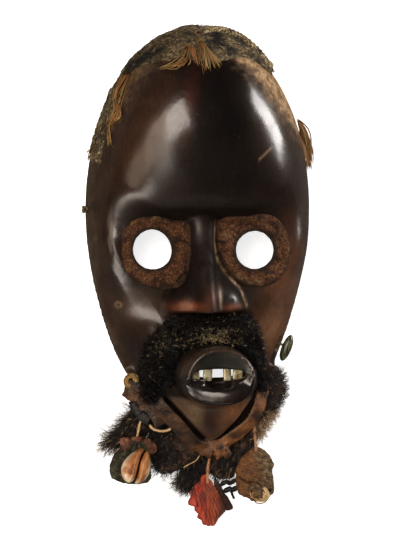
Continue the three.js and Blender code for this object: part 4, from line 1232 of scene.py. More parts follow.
def away_from_chin(path):
    return unit(xyz(path[:, 0] - 7, path[:, 1] + 88, np.full(len(path), 34.0)))


def strap_outline(s, angle):
    across, over = np.cos(angle), np.sin(angle)
    place = xyz(s * 130 + 0 * across, across * 5 + 0 * s, 0 * s * across)
    wave = grain(place, 9, 2, 2) - 0.5
    wrinkle = grain(place * (1, 2.2, 1), 2.2, 2, 5) - 0.5
    ragged = grain(place * (1, 0.2, 1), 5, 2, 8) - 0.5
    wide = (5.4 + 1.2 * ragged) * np.sign(across) * np.abs(across) ** 0.85
    rolled = np.exp(-((across + 0.9) / 0.14) ** 2)
    thick = 0.85 + 0.9 * rolled
    cup = 0.9 * across ** 2
    return wide, thick * over + 1.1 * wave + 0.45 * wrinkle * (over > 0) - cup + 0.5


def strap_edge(s, angle):
    return 0.55 * np.exp(-((np.cos(angle) + 0.95) / 0.06) ** 2) * (np.sin(angle) > -0.3) + 0 * s


strap = sweep("strap_leather", STRAP, strap_outline, rows=230, around=46, up=away_from_chin, close=0.02,
              tint=strap_edge)


def lump(name, centre, half, turn=0.0, rough=0.25, size=4.0, seed=0):
    """A rough rounded lump: a ball that is stretched, turned and made uneven."""
    deselect()
    bpy.ops.mesh.primitive_ico_sphere_add(subdivisions=5, radius=1)
    piece = bpy.context.object
    piece.name = name
    flat = np.empty(len(piece.data.vertices) * 3)
    piece.data.vertices.foreach_get("co", flat)
    round_at = unit(flat.reshape(-1, 3))
    half = np.array(half)
    grow = 1 + rough * (grain(round_at * half, size, 3, seed) - 0.5) * 2
    cosine, sine = math.cos(math.radians(turn)), math.sin(math.radians(turn))
    placed = round_at * half * grow[:, None] @ np.array([[cosine, sine, 0], [-sine, cosine, 0], [0, 0, 1]]) + centre
    piece.data.vertices.foreach_set("co", (placed * MM + SHIFT).ravel())
    keep(piece.data, along=0, tone=0)
    outward(piece)
    bpy.ops.object.shade_smooth()
    return piece


def band_outline(half_width, half_thick, seed):
    """A flat strip of leather, a little cupped and wrinkled."""
    def outline(s, angle):
        across, over = np.cos(angle), np.sin(angle)
        place = xyz(s * 40 + 0 * across, across * 4 + 0 * s, 0 * s * across + seed)
        wave = grain(place, 4, 2, seed) - 0.5
        wide = half_width * np.sign(across) * np.abs(across) ** 0.8
        return wide * (1 + 0.3 * wave), half_thick * over * (1 + 0.5 * np.abs(across) ** 6) + 0.9 * wave
    return outline


knot_middle = np.array([9.0, -118.0, 8.3])
knot_parts = [strap, lump("knot_core", knot_middle, (8.6, 5.6, 4.3), rough=0.16, size=5, seed=3)]
WRAPS = [(0.25, -3.2, 1.0, 2.3), (-0.45, 1.4, 1.08, 2.6), (0.1, 5.2, 0.9, 1.9)]
for number, (turn, slide, size, width) in enumerate(WRAPS):
    angle = np.linspace(-0.3, 2 * math.pi + 0.2, 16)
    ring = xyz(slide + turn * 5 * np.cos(angle), 5.9 * size * np.cos(angle), 4.5 * size * np.sin(angle))
    knot_parts.append(sweep(
        f"knot_wrap_{number}", knot_middle + ring, band_outline(width, 0.75, number + 3), rows=90, around=20,
        up=lambda path: path - knot_middle - (0, 0, 0.01),
    ))
ENDS = [(2.5, 9, [(3, -114, 12.4), (9, -116.5, 13.4), (15.6, -121.4, 11.5), (18.5, -124.5, 8.6)]),
        (2.2, 14, [(17, -112.6, 11.4), (11.6, -116.4, 13.8), (4.6, -119.6, 12.4), (0.4, -122.6, 8.6)])]
for number, (width, seed, route) in enumerate(ENDS):
    knot_parts.append(sweep(f"knot_end_{number}", route, band_outline(width, 0.8, seed), rows=70, around=20))
angle = np.linspace(0, 5.4 * math.pi, 34)
wound = np.linspace(-1, 1, 34)
lace = xyz(32.8 + 3.4 * np.cos(angle) * 0.86 + 1.7 * wound, -98.2 - 3.4 * np.cos(angle) * 0.5 + 2.4 * wound,
           16.4 + 2.3 * np.sin(angle) + 1.5 * wound)
knot_parts.append(sweep("strap_lace", lace, corded(0.62, 2, 16, 0.25), rows=170, around=9,
                        tint=lambda s, a: 0.25 + 0 * s * a))
# The wear of leather: pale worn edges where the points keep a tone, fine dark cracks, and a darker left side
wear, given, gives = new_effect("wear", {
    "Place": None, "Colour": BLACK, "Deep": BLACK, "Worn": BLACK, "Left Dark": 0.0,
}, {"Colour": "Color", "Height": "Float"})
fine = noise(wear, given["Place"], 900, 3)
cell = add(wear, "TexVoronoi", {"Vector": given["Place"], "Scale": 520}, feature="DISTANCE_TO_EDGE").outputs[0]
edge = math_node(wear, "MULTIPLY", kept(wear, "tone"), level(wear, fine, 0.3, 0.6, 0.5, 1))
tone = blend(wear, edge, given["Colour"], given["Worn"])
tone = blend(wear, level(wear, cell, 0.08, 0.0, 0, 0.5), tone, given["Deep"])
side = add(wear, "SeparateXYZ", {"Vector": given["Place"]}).outputs["X"]
left = past(wear, side, 14, -6, given["Left Dark"])
wear.links.new(blend(wear, left, tone, (0.36, 0.42, 0.5), "MULTIPLY"), gives["Colour"])
wear.links.new(math_node(wear, "ADD", level(wear, cell, 0.0, 0.12), fine), gives["Height"])


def leather_finish(name, deep, middle, light, worn, roughness, left_dark=0.0):
    """Old leather, mottled and worn. It can be darker on the left."""
    material, tree, shader, place = new_finish(name, roughness, 0.4)
    mottle, _ = speckled(tree, place, (0.36, deep), (0.5, middle), (0.66, light), 130, Roughness=0.6, Distortion=0.4)
    made = use(tree, wear, Place=place, Colour=mottle, Deep=deep, Worn=worn, Left_Dark=left_dark)
    finish_off(tree, shader, made["Colour"], made["Height"], 0.00025, 0.7)
    return material


leather = leather_finish("brown_leather", (0.024, 0.0105, 0.0055), (0.15, 0.054, 0.0165), (0.32, 0.12, 0.036),
                         (0.26, 0.16, 0.09), 0.55, left_dark=1.0)
fit(join_up("strap_leather", *knot_parts), leather, "chin_strap")

# ----------
# At the left jaw: a crumpled lug of leather with a small loop of yellow fibre round it, and a strip of
# black leather rolled into a tube. A curved thong comes out of the roll and is tied into the strap.
lug_parts = [
    lump("lug_body", (-40.2, -82.3, 13.4), (5.6, 6.4, 5.2), turn=12, rough=0.3, size=4.5, seed=12),
    sweep("lug_fold_a", [(-45, -78.6, 13), (-42, -78.8, 18), (-37, -81, 19.6), (-32.5, -84.6, 20)],
          band_outline(2.4, 0.8, 4), rows=70, around=20),
    sweep("lug_fold_b", [(-45.4, -84, 11), (-42, -86, 17), (-36.6, -87.6, 18.6), (-31, -88, 19.6)],
          band_outline(2.8, 0.8, 7), rows=70, around=20),
    sweep("lug_fold_c", [(-36.5, -91, 17), (-31, -93.4, 19), (-27, -98.5, 20), (-24.5, -104, 19)],
          band_outline(3.4, 0.8, 17), rows=80, around=20),
]
fit(join_up("crumpled_lug", *lug_parts), leather, "leather_lug")

rng = np.random.default_rng(31)
count, steps = 26, 15
turn = np.linspace(0, 1, steps)[None, :] * rng.uniform(5.0, 7.4, count)[:, None]
turn = turn + rng.uniform(0, 6.28, count)[:, None]
wide = rng.normal(2.6, 0.7, count)[:, None] * (1 + 0.12 * np.sin(2 * turn + 1))
ring = xyz(-42 + wide * np.cos(turn), -76.6 + 1.15 * wide * np.sin(turn),
           18.8 + rng.normal(0, 0.9, count)[:, None] + 0.8 * np.sin(turn))
profile = np.array([0] + [1] * (steps - 2) + [0])[None, :] * rng.uniform(0.24, 0.46, count)[:, None]
fibre_loop = strands("yellow_loop", ring, profile, sides=4, flat=0.6)
yellow = strand_finish("yellow_fibre", (0.30, 0.175, 0.055), (0.50, 0.34, 0.13), 0.55, odd=(0.24, 0.11, 0.035),
                       odd_share=0.25, from_tip=0.1)
fit(fibre_loop, yellow, "fibre_loop")


def rolled_outline(s, angle):
    """A strip rolled up: a step where its edge ends, and wrinkles across."""
    spiral = np.mod(angle - 1.2 - 1.4 * s, 2 * math.pi) / (2 * math.pi)
    place = xyz(3.8 * np.cos(angle) + 0 * s, 3.8 * np.sin(angle) + 0 * s, s * 22 + 0 * angle)
    radius = 3.7 + 0.75 * (spiral - 0.5) + 1.5 * (grain(place, 3.4, 3, 3) - 0.5)
    return radius * np.cos(angle), radius * np.sin(angle)


rolled = sweep("black_roll", [(-38.5, -89, 11), (-37.4, -93.5, 11), (-34, -98.4, 11.6), (-29, -101.5, 13)],
               rolled_outline, rows=120, around=60, close=0.08)
black_leather = leather_finish("black_leather", (0.006, 0.005, 0.005), (0.016, 0.012, 0.010), (0.045, 0.026, 0.016),
                               (0.2, 0.14, 0.09), 0.5)
fit(rolled, black_leather, "rolled_strap")


def thong_finish(name, dark, light):
    """A thin strip of skin, twisted, smooth and pale."""
    material, tree, shader, place = new_finish(name, 0.5, 0.4)
    tone, layer_colour = speckled(tree, place, (0.36, dark), (0.52, light), (0.53, light), 330, 3)
    finish_off(tree, shader, tone, layer_colour, 0.0002, 0.6)
    return material


pale_thong = thong_finish("pale_thong", (0.30, 0.15, 0.06), (0.56, 0.37, 0.18))
red_thong = thong_finish("red_brown_thong", (0.13, 0.045, 0.018), (0.36, 0.15, 0.065))
tan_thong = thong_finish("tan_thong", (0.14, 0.06, 0.026), (0.34, 0.17, 0.075))
for name, node, finish, size, route in (
    ("thong_of_roll", "curved_thong", pale_thong, 0.85,
     [(-30.6, -103.6, 15.5), (-28.5, -105.9, 16.8), (-24, -107.2, 17.4), (-20.5, -106.8, 18), (-18, -105.6, 18.4)]),
    ("thong_of_packet", "packet_thong", pale_thong, 0.8,
     [(-34.6, -99, 11), (-35.6, -101.6, 12.2), (-36.4, -106, 11), (-37.2, -111, 9), (-37.4, -113, 8)]),
    ("thong_of_amulet", "amulet_thong", red_thong, 0.95,
     [(7, -122.5, 8.5), (6.4, -125.5, 8.5), (5.2, -131, 8.4), (5, -136.6, 8.6), (5.2, -140.8, 8.4)]),
    ("thong_of_pouch", "pouch_thong", tan_thong, 0.85,
     [(32, -103, 14), (32.6, -105.5, 13.4), (33.2, -112, 12.4), (33.8, -118, 12.6), (34.2, -121.6, 11.8)]),
):
    thong = sweep(name, route, corded(size, 2, 3.5, 0.22), rows=90, around=14)
    fit(thong, finish, node)

# ----------
# The packet: a charm wrapped in coarse, blackish cloth, gathered and tied at the top, with two small
# flaps of red-brown leather under the tie. It is stuffed, and it hangs by a pale thong from the roll.
PACKET = [
    (-45.8, -114.8), (-52.2, -125.4), (-53.4, -134.2), (-47.2, -139), (-38.3, -140.3), (-29.6, -138.6),
    (-28.3, -127.1), (-26.5, -118.3), (-33, -112), (-41, -112.5),
]


def pillow(name, outline, low, high, rows=70, around=180, edge=0.75, shape=None, ragged=0.0, seed=0, middle=None):
    """A closed cushion over an outline. shape(place, share) gives extra height on its upper face."""
    x, y = np.mean(outline, axis=0) if middle is None else middle
    angle = np.linspace(0, 2 * math.pi, around, endpoint=False)[None, :]
    turn = np.linspace(0, math.pi, rows)[1:-1, None]
    out = reach(outline, x, y, angle)
    if ragged:
        ring = xyz(out * np.cos(angle), out * np.sin(angle), 0 * angle + seed)
        out = out + ragged * (grain(ring, 1.6, 3, seed) - 0.5)
    share = np.sin(turn) ** edge
    side = -np.sign(np.cos(turn)) * np.abs(np.cos(turn)) ** edge
    points = xyz(x + out * share * np.cos(angle), y + out * share * np.sin(angle),
                 (low + high) / 2 + (high - low) / 2 * side + 0 * angle)
    ends = np.array([[x, y, low], [x, y, high]])
    if shape is not None:
        upper = smooth(-0.2, 0.5, side + 0 * angle)
        points[..., 2] += upper * shape(points, share + 0 * angle)
        ends[1, 2] += shape(ends[1:], np.zeros(1))[0]
    points[..., 2] = np.maximum(points[..., 2], low)
    flat = np.concatenate([ends[:1], points.reshape(-1, 3), ends[1:]])
    return new_object(name, flat, ring_faces(rows - 2, around))


def crumpled(height, size, seed, start=0.7):
    """Lumps for the upper face of a small piece, which fade to its edge."""
    return lambda place, share: height * (grain(place, size, 3, seed) - 0.5) * smooth(1, start, share)


def packet_shape(place, share):
    """Gathered folds that run down from the tied neck, over the lumpy stuffing."""
    x, y = place[..., 0] + 37.3, place[..., 1] + 111.5
    away, angle = np.hypot(x, y), np.arctan2(x, -y)
    folds = np.cos(angle * 13 + 2.5 * grain(place, 8, 1, 3)) * np.exp(-((away - 5) / 6) ** 2)
    neck = 2.6 * np.exp(-(away / 3.2) ** 2)
    lumps = 2.8 * (grain(place, 8, 2, 4) - 0.5) + 0.8 * (grain(place, 1.5, 2, 2) - 0.5)
    return (0.9 * folds + lumps) * smooth(1, 0.8, share) + neck


packet = pillow("packet_cloth_bag", PACKET, 0.4, 9.4, rows=60, around=150, shape=packet_shape, ragged=1.4, seed=2)
# Threads that cross, high where a thread lies on top
weave, given, gives = new_effect("weave", {"Place": None, "Scale": 300.0, "Distortion": 1.0, "Detail Scale": 1.0},
                                 {"Height": "Float"})
warp, weft = (add(weave, "TexWave", {"Vector": given["Place"], "Scale": given["Scale"], "Detail": 2, "Distortion":
                  given["Distortion"], "Detail Scale": given["Detail Scale"]}, bands_direction=way).outputs["Fac"]
              for way in ("X", "Y"))
weave.links.new(math_node(weave, "MULTIPLY", warp, weft), gives["Height"])
coarse, tree, shader, place = new_finish("coarse_black_cloth", 0.9, 0.35)
slanted = add(tree, "Mapping", {"Vector": place, "Rotation": (0, 0, 0.5)}).outputs[0]
threads = use(tree, weave, Place=slanted, Scale=330, Distortion=1.5, Detail_Scale=2)["Height"]
tone, grit = speckled(tree, place, (0.36, (0.010, 0.010, 0.006)), (0.5, (0.035, 0.03, 0.015)),
                      (0.68, (0.17, 0.145, 0.075)), 480, Roughness=0.7)
tone = blend(tree, level(tree, threads, 0.5, 0.1, 0, 0.6), tone, (0.008, 0.007, 0.005))
tone = blotched(tree, place, tone, (0.10, 0.085, 0.045), 0.5, 0.62, 0.7, 90, 2)
finish_off(tree, shader, tone, math_node(tree, "ADD", threads, grit), 0.0005, 0.9)
fit(packet, coarse, "packet")
FLAPS = [
    [(-47.5, -112.5), (-46.6, -117.5), (-44.2, -121), (-40.8, -119), (-40, -114.5), (-43, -111.6)],
    [(-33.6, -113.6), (-32.4, -118.6), (-29.6, -122.6), (-25.8, -121), (-25.6, -116.6), (-29.6, -112.8)],
]
flaps = [
    pillow(f"packet_flap_{number}", outline, 5.6, 9.4, rows=30, around=80, ragged=1.2, seed=number + 4,
           shape=crumpled(2.4, 2.6, 7))
    for number, outline in enumerate(FLAPS)
]
angle = np.linspace(0, 5 * math.pi, 30)
tie = xyz(-37.2 + 3.3 * np.cos(angle), -112.8 + 1.0 * np.linspace(-1, 1, 30) + 0.4 * np.sin(angle),
          7.6 + 2.9 * np.sin(angle))
flaps.append(sweep("packet_tie", tie, corded(0.55, 2, 18, 0.25), rows=150, around=9))
flap_leather = leather_finish("red_brown_leather", (0.035, 0.013, 0.007), (0.12, 0.04, 0.018), (0.22, 0.085, 0.04),
                              (0.3, 0.18, 0.1), 0.6)
fit(join_up("packet_flaps", *flaps), flap_leather)

# ----------
# The cowrie: one shell fixed to the front of the packet with its opening outward. It is worn and
# stained orange-brown by handling, cream at the edges, and has painted shade in the toothed slit.
COWRIE_MIDDLE, COWRIE_TURN = (-37.6, -128.4), math.radians(-27)
rows, around = 92, 190
turn = np.linspace(0, math.pi, rows)[1:-1, None]
angle = np.linspace(0, 2 * math.pi, around, endpoint=False)[None, :]
u, v = np.sin(turn) * np.cos(angle), np.sin(turn) * np.sin(angle)
wide = 8.3 * (1 - 0.25 * v - 0.12 * v ** 2)
along = 11.6 * v
across = wide * u
upper = -np.cos(turn) + 0 * angle
height = np.where(upper > 0, 5.6, 3.6) * upper
line = 0.9 - 1.5 * np.sin(v * 2.4 + 0.3)
gap = across - line
half_slit = mix(0.55, 1.05, smooth(0.6, -0.9, v))
lips = 1.5 * np.exp(-((np.abs(gap) - 2.6) / 1.8) ** 2)
slit = -3.0 * np.exp(-(gap / (0.7 * half_slit)) ** 4) - 1.3 * np.exp(-(gap / 2.1) ** 2)
ridges = 0.28 * np.cos(along * 6.6) * np.exp(-((np.abs(gap) - 1.35) / 0.55) ** 2) * smooth(1, 0.8, np.abs(v))
notch = 1.9 * np.exp(-(gap / 1.5) ** 2) * (smooth(0.72, 1.0, -v) + 0.8 * smooth(0.8, 1.0, v))
height = height + smooth(0.05, 0.5, upper) * (lips + slit + ridges)
along = along - np.sign(v) * notch
x = COWRIE_MIDDLE[0] + across * math.cos(COWRIE_TURN) - along * math.sin(COWRIE_TURN)
y = COWRIE_MIDDLE[1] + across * math.sin(COWRIE_TURN) + along * math.cos(COWRIE_TURN)
body = xyz(x, y, 11.6 + height)
poles = np.array([[*COWRIE_MIDDLE, 11.6 - 3.6], [*COWRIE_MIDDLE, 11.6 + 5.6 - 4.2]])
rim = np.concatenate([[0], np.maximum(smooth(0.62, 0.98, np.abs(u)), smooth(0.45, 0.95, -v)).ravel(), [0]])
# Painted shade: the share of dark in the slit
deep = np.concatenate([[0], np.exp(-(gap / 0.95) ** 2).ravel(), [1]])
cowrie = new_object("cowrie_shell", np.concatenate([poles[:1], body.reshape(-1, 3), poles[1:]]),
                    ring_faces(rows - 2, around), tone=rim, along=deep)
shell, tree, shader, place = new_finish("stained_shell", 0.24, Coat_Weight=0.4, Coat_Roughness=0.12)
tone, cloud = speckled(tree, place, (0.34, (0.19, 0.055, 0.016)), (0.5, (0.37, 0.13, 0.036)),
                       (0.66, (0.51, 0.22, 0.078)), 210, Distortion=0.5)
edge = math_node(tree, "MULTIPLY", kept(tree, "tone"), level(tree, cloud, 0.35, 0.6, 0.6, 1.1))
tone = blend(tree, edge, tone, (0.74, 0.58, 0.38))
# Painted shade in the toothed slit
tone = blend(tree, level(tree, kept(tree, "along"), 0.35, 0.85), tone, (0.02, 0.009, 0.005))
finish_off(tree, shader, tone, cloud, 0.0003, 0.4)
fit(cowrie, shell, "cowrie")

# ----------
# The red amulet: a flat piece of fibrous bark, stained red, with a notched edge. Its fibres run slantwise
# over it in ridges. A small tag of dark red-brown leather lies beside it.
AMULET = [
    (2.9, -135.7), (0.9, -139), (-2.6, -142.8), (-4.8, -145.5), (-4.8, -148.2), (-5.7, -152), (-5.4, -154.2),
    (-2.6, -154.2), (-2.1, -157), (0.2, -159.7), (-0.4, -161.8), (2.6, -163.5), (2.3, -165.1), (5.7, -166.8),
    (9.5, -166.8), (11.2, -164.6), (12.3, -162.4), (15.6, -159.1), (16.7, -157), (16.1, -154.6), (14, -149.2),
    (11.2, -145), (7.3, -138.4),
]


def bark_shape(place, share):
    """Ridges of fibre that bend as they run down and to the right."""
    x, y = place[..., 0], place[..., 1]
    slant = x * 0.87 + y * 0.5 + 0.012 * (y + 150) ** 2 + 2.2 * (grain(place, 9, 2, 5) - 0.5)
    ridge = 1 - np.abs(np.sin(slant * 1.75)) ** 0.7
    fine = grain(xyz(slant * 3, y * 0.4 - x * 0.2, 0 * x), 1.3, 2, 2) - 0.5
    relief = (1.3 * ridge - 0.5) * smooth(-3, 5, x + 0.35 * (y + 150)) + 0.9 * fine
    return relief * smooth(1, 0.85, share) + 0.8 * (grain(place, 6, 1, 1) - 0.5)


amulet = pillow("red_bark", AMULET, 0.4, 7.6, rows=90, around=210, edge=0.5, shape=bark_shape, ragged=2.0, seed=6)
red, tree, shader, place = new_finish("red_stained_bark", 0.7, 0.35)
slanted = add(tree, "Mapping", {"Vector": place, "Rotation": (0, 0, -0.52), "Scale": (3.4, 0.5, 1)}).outputs[0]
tone, fibres = speckled(tree, slanted, (0.36, (0.075, 0.010, 0.006)), (0.5, (0.34, 0.027, 0.013)),
                        (0.66, (0.47, 0.075, 0.032)), 230, Distortion=0.3)
tone = blotched(tree, place, tone, (0.10, 0.028, 0.018), 0.55, 0.68, 0.8, 120)
side = add(tree, "SeparateXYZ", {"Vector": place}).outputs["X"]
for start, end, share, colour in ((3, 8, 0.45, (0.27, 0.09, 0.035)), (9.5, 14.5, 0.8, (0.03, 0.012, 0.008))):
    tone = blend(tree, past(tree, side, start, end, share), tone, colour)
finish_off(tree, shader, tone, fibres, 0.0004, 0.8)
fit(amulet, red, "red_amulet")
TAG = [
    (10.4, -138), (13.4, -141.5), (16.4, -147), (18.8, -150.6), (21.6, -156), (20.2, -157.6), (17.6, -158),
    (14.6, -156.4), (12.4, -152), (10.2, -146),
]
tag = pillow("leather_tag", TAG, 0.4, 4, rows=30, around=90, edge=0.6, ragged=1.0, seed=9, middle=(15, -150),
             shape=crumpled(1.6, 2.4, 4))
tag_leather = leather_finish("dark_red_leather", (0.012, 0.005, 0.004), (0.045, 0.013, 0.009), (0.10, 0.03, 0.02),
                             (0.2, 0.1, 0.06), 0.6)
fit(tag, tag_leather, "dark_tag")

# ----------
# The pouch: a small bag woven of fine fibre, stuffed, folded up at its lower end and closed there with a
# curl of pale fibre. The left half is worn smooth and orange-brown, the right half is olive-tan.
POUCH = [
    (33, -119.8), (37.5, -119.8), (42, -123), (45.8, -129.5), (44.9, -133.2), (45.7, -141), (45.5, -147),
    (42, -149.6), (35.3, -152.5), (28.7, -149.7), (24, -146.6), (22.6, -137), (24.3, -128.5), (29, -122.9),
]


def pouch_shape(place, share):
    """The weave in fine relief, with deep folds where the lower end is turned up."""
    x, y = place[..., 0], place[..., 1]
    cell = 0.85
    a, b = x * 0.97 + y * 0.24, y * 0.97 - x * 0.24
    odd = np.mod(np.floor(a / cell) + np.floor(b / cell), 2)
    over = np.where(odd > 0.5, np.abs(np.sin(math.pi * a / cell)), np.abs(np.sin(math.pi * b / cell)))
    weave = 0.26 * over * smooth(25, 31, x + 0.4 * (y + 134))
    fold_line = (y + 140.6) + 0.42 * (x - 30) + 1.2 * np.sin(x * 0.5)
    fold = 2.3 * smooth(1.0, -0.5, fold_line) - 2.0 * np.exp(-((fold_line - 0.8) / 0.8) ** 2)
    tuck = -1.9 * np.exp(-((x - 31.2 - 0.3 * (y + 148)) / 1.0) ** 2) * smooth(-143, -146, y)
    tuck = tuck - 1.6 * np.exp(-((x - 38.5 + 0.5 * (y + 147)) / 1.0) ** 2) * smooth(-142, -145, y)
    return weave + (fold + tuck + 2.4 * (grain(place, 8, 2, 8) - 0.5)) * smooth(1, 0.8, share)


pouch = pillow("woven_bag", POUCH, 0.4, 11, rows=108, around=230, edge=0.72, shape=pouch_shape, ragged=1.3, seed=4)
woven, tree, shader, place = new_finish("fine_weave", 0.85, 0.35)
slanted = add(tree, "Mapping", {"Vector": place, "Rotation": (0, 0, 0.24)}).outputs[0]
threads = use(tree, weave, Place=slanted, Scale=185, Distortion=0.8)["Height"]
cloud = noise(tree, place, 90, 3)
olive, fleck = speckled(tree, place, (0.35, (0.04, 0.022, 0.01)), (0.5, (0.115, 0.068, 0.028)),
                        (0.68, (0.23, 0.155, 0.075)), 420)
orange, _ = speckled(tree, place, (0.32, (0.09, 0.034, 0.011)), (0.5, (0.175, 0.068, 0.02)),
                     (0.7, (0.24, 0.10, 0.034)), 420)
side = add(tree, "SeparateXYZ", {"Vector": place}).outputs["X"]
side = math_node(tree, "ADD", side, level(tree, cloud, 0.3, 0.7, -0.006, 0.006))
tone = blend(tree, past(tree, side, 31, 39), orange, olive)
tone = blend(tree, level(tree, threads, 0.35, 0.02, 0, 0.45), tone, (0.03, 0.016, 0.008))
tone = blotched(tree, place, tone, (0.025, 0.012, 0.008), 0.42, 0.3, 0.5, 90)
finish_off(tree, shader, tone, math_node(tree, "ADD", threads, fleck), 0.00045, 0.8)
fit(pouch, woven, "woven_pouch")
rng = np.random.default_rng(41)
count, steps = 46, 15
turn = np.linspace(0, 1, steps)[None, :] * rng.uniform(2.4, 4.4, count)[:, None]
turn = turn + rng.uniform(-3.4, -2.3, count)[:, None]
wide = rng.normal(4.0, 0.45, count)[:, None]
middle_x, middle_y = rng.normal(37.0, 0.8, count)[:, None], rng.normal(-147.4, 0.6, count)[:, None]
ring = xyz(middle_x + wide * np.cos(turn), middle_y + 0.85 * wide * np.sin(turn),
           11.2 + rng.normal(0, 0.5, count)[:, None] - 1.8 * np.abs(np.sin(turn)))
profile = np.array([0] + [1] * (steps - 2) + [0])[None, :] * rng.uniform(0.26, 0.46, count)[:, None]
pouch_curl = strands("pouch_curl", ring, profile, sides=4, flat=0.6)
pale = strand_finish("pale_fibre", (0.42, 0.25, 0.10), (0.60, 0.43, 0.22), 0.4, from_tip=0.2)
fit(pouch_curl, pale)

# ----------
# The beard: five torn pieces of hide with long dark fur, sewn behind the strap and between the pendants.
# Each is a thin brown skin, and its hairs run outward and down, dark at the root and bleached at the tip.
HIDES = {
    "left": [(-33, -92), (-41.5, -97), (-49, -106.5), (-55, -115.5), (-48.8, -118.6), (-37, -115.6),
        (-30.2, -111), (-29.9, -102)],
    "middle": [(-22.8, -94), (-28.5, -101), (-29.5, -109), (-29.8, -118), (-27.6, -128.5), (-21.6, -135),
               (-8.1, -131.5), (1, -126.9), (5, -124), (4.4, -114.6), (-13.4, -99.6)],
    "tuft": [(-6.5, -127.5), (0, -124), (6, -122), (7.5, -131), (3.5, -139), (-5, -144), (-12, -142),
        (-11, -134.5)],
    "centre": [(3.4, -120), (9.4, -112), (17.4, -106.4), (25.4, -98.4), (33, -92.6), (38, -102), (35.5, -117),
               (29.3, -124), (25, -130), (22, -137.3), (17.2, -138.5), (10.6, -137.6), (4.8, -130)],
    "right": [(39.2, -73.3), (45.9, -69.7), (51, -78.1), (50.8, -88), (45.4, -97.5), (40, -106),
              (35.5, -114), (33.5, -105), (37.5, -95), (39, -84)],
}


def inside_of(outline, shrink, count, rng):
    """Random places inside an outline, which is first drawn in towards its middle."""
    outline = np.array(outline)
    middle = outline.mean(axis=0)
    ring = middle + (curve_through(outline, 120, closed=True) - middle) * shrink
    low, high = ring.min(axis=0), ring.max(axis=0)
    places = rng.uniform(low, high, (count * 6, 2))
    after = np.roll(ring, -1, axis=0)
    x, y = places[:, :1], places[:, 1:]
    crosses = (ring[:, 1] > y) != (after[:, 1] > y)
    level_x = ring[:, 0] + (y - ring[:, 1]) / np.where(after[:, 1] == ring[:, 1], 1, after[:, 1] - ring[:, 1]) * (
        after[:, 0] - ring[:, 0])
    kept = places[(crosses & (x < level_x)).sum(axis=1) % 2 == 1]
    return kept[:count]


def fur(name, outline, count, heading, spread, length, top, part, rng):
    """Long hairs from a part of a hide. They lie in locks about one heading in degrees, and sink to the ground."""
    root = inside_of(outline, 0.92, count, rng)
    root = root[PARTS[part](root[:, 0], root[:, 1])]
    count = len(root)
    turn = math.radians(heading) + 1.6 * (grain(np.concatenate([root, 0 * root[:, :1]], axis=1), 4.5, 2, 4) - 0.5)
    way = xyz(np.cos(turn), np.sin(turn))
    turn = np.arctan2(way[:, 1], way[:, 0]) + rng.normal(0, spread, count)
    way = xyz(np.cos(turn), np.sin(turn))
    side = xyz(-way[:, 1], way[:, 0])
    steps = 6
    t = np.linspace(0, 1, steps)[None, :]
    long = rng.uniform(*length, count)[:, None]
    sway = rng.normal(0, 0.3, count)[:, None] * t ** 2 * long
    wave = rng.normal(0, 0.35, count)[:, None] * np.sin(2 * math.pi * t * rng.uniform(0.6, 1.4, count)[:, None])
    plan = root[:, None] + way[:, None] * (t * long)[..., None] + side[:, None] * (sway + wave)[..., None]
    base = rng.uniform(top[0], top[1], count)[:, None]
    rise = rng.uniform(0.02, 0.22, count)[:, None] * long
    height = base + rise * np.sin(math.pi * t ** 0.8) - base * smooth(0.15, 1.25, t)
    paths = np.concatenate([plan, np.maximum(height, 0.3)[..., None]], axis=-1)
    profile = np.array([0, 1, 0.95, 0.8, 0.5, 0])
    return strands(name, paths, profile[None, :] * rng.uniform(0.09, 0.19, count)[:, None])


skin = leather_finish("brown_hide_skin", (0.010, 0.007, 0.006), (0.04, 0.02, 0.011), (0.10, 0.05, 0.025),
                      (0.2, 0.13, 0.08), 0.7)
dark_fur = strand_finish("dark_fur", (0.005, 0.0045, 0.005), (0.05, 0.034, 0.022), 0.6, roughness=0.45,
                         odd=(0.12, 0.075, 0.042), odd_share=0.06, from_tip=0.55)
brown_fur = strand_finish("brown_tipped_fur", (0.012, 0.009, 0.007), (0.20, 0.125, 0.07), 0.6, roughness=0.45,
                          odd=(0.26, 0.17, 0.10), odd_share=0.08, from_tip=0.35)
tan_fur = strand_finish("tan_fur", (0.19, 0.105, 0.046), (0.70, 0.48, 0.26), 0.45, roughness=0.5, from_tip=0.05)
rng = np.random.default_rng(3)


# The parts of a hide where a coat grows
PARTS = {
    "upper left": lambda x, y: (x + 14) - 0.5 * (y + 112) < 1,
    "lower left": lambda x, y: (x + 14) - 0.5 * (y + 112) < -7,
    "tips": lambda x, y: (y < -131) | (x > 32),
    "high": lambda x, y: y > -98,
    "low": lambda x, y: y < -95,
    "left side": lambda x, y: x < -4,
    "fringe": lambda x, y: y < -121 + 0.35 * x,
    "left edge": lambda x, y: x < 13,
    "all over": lambda x, y: x == x,
}
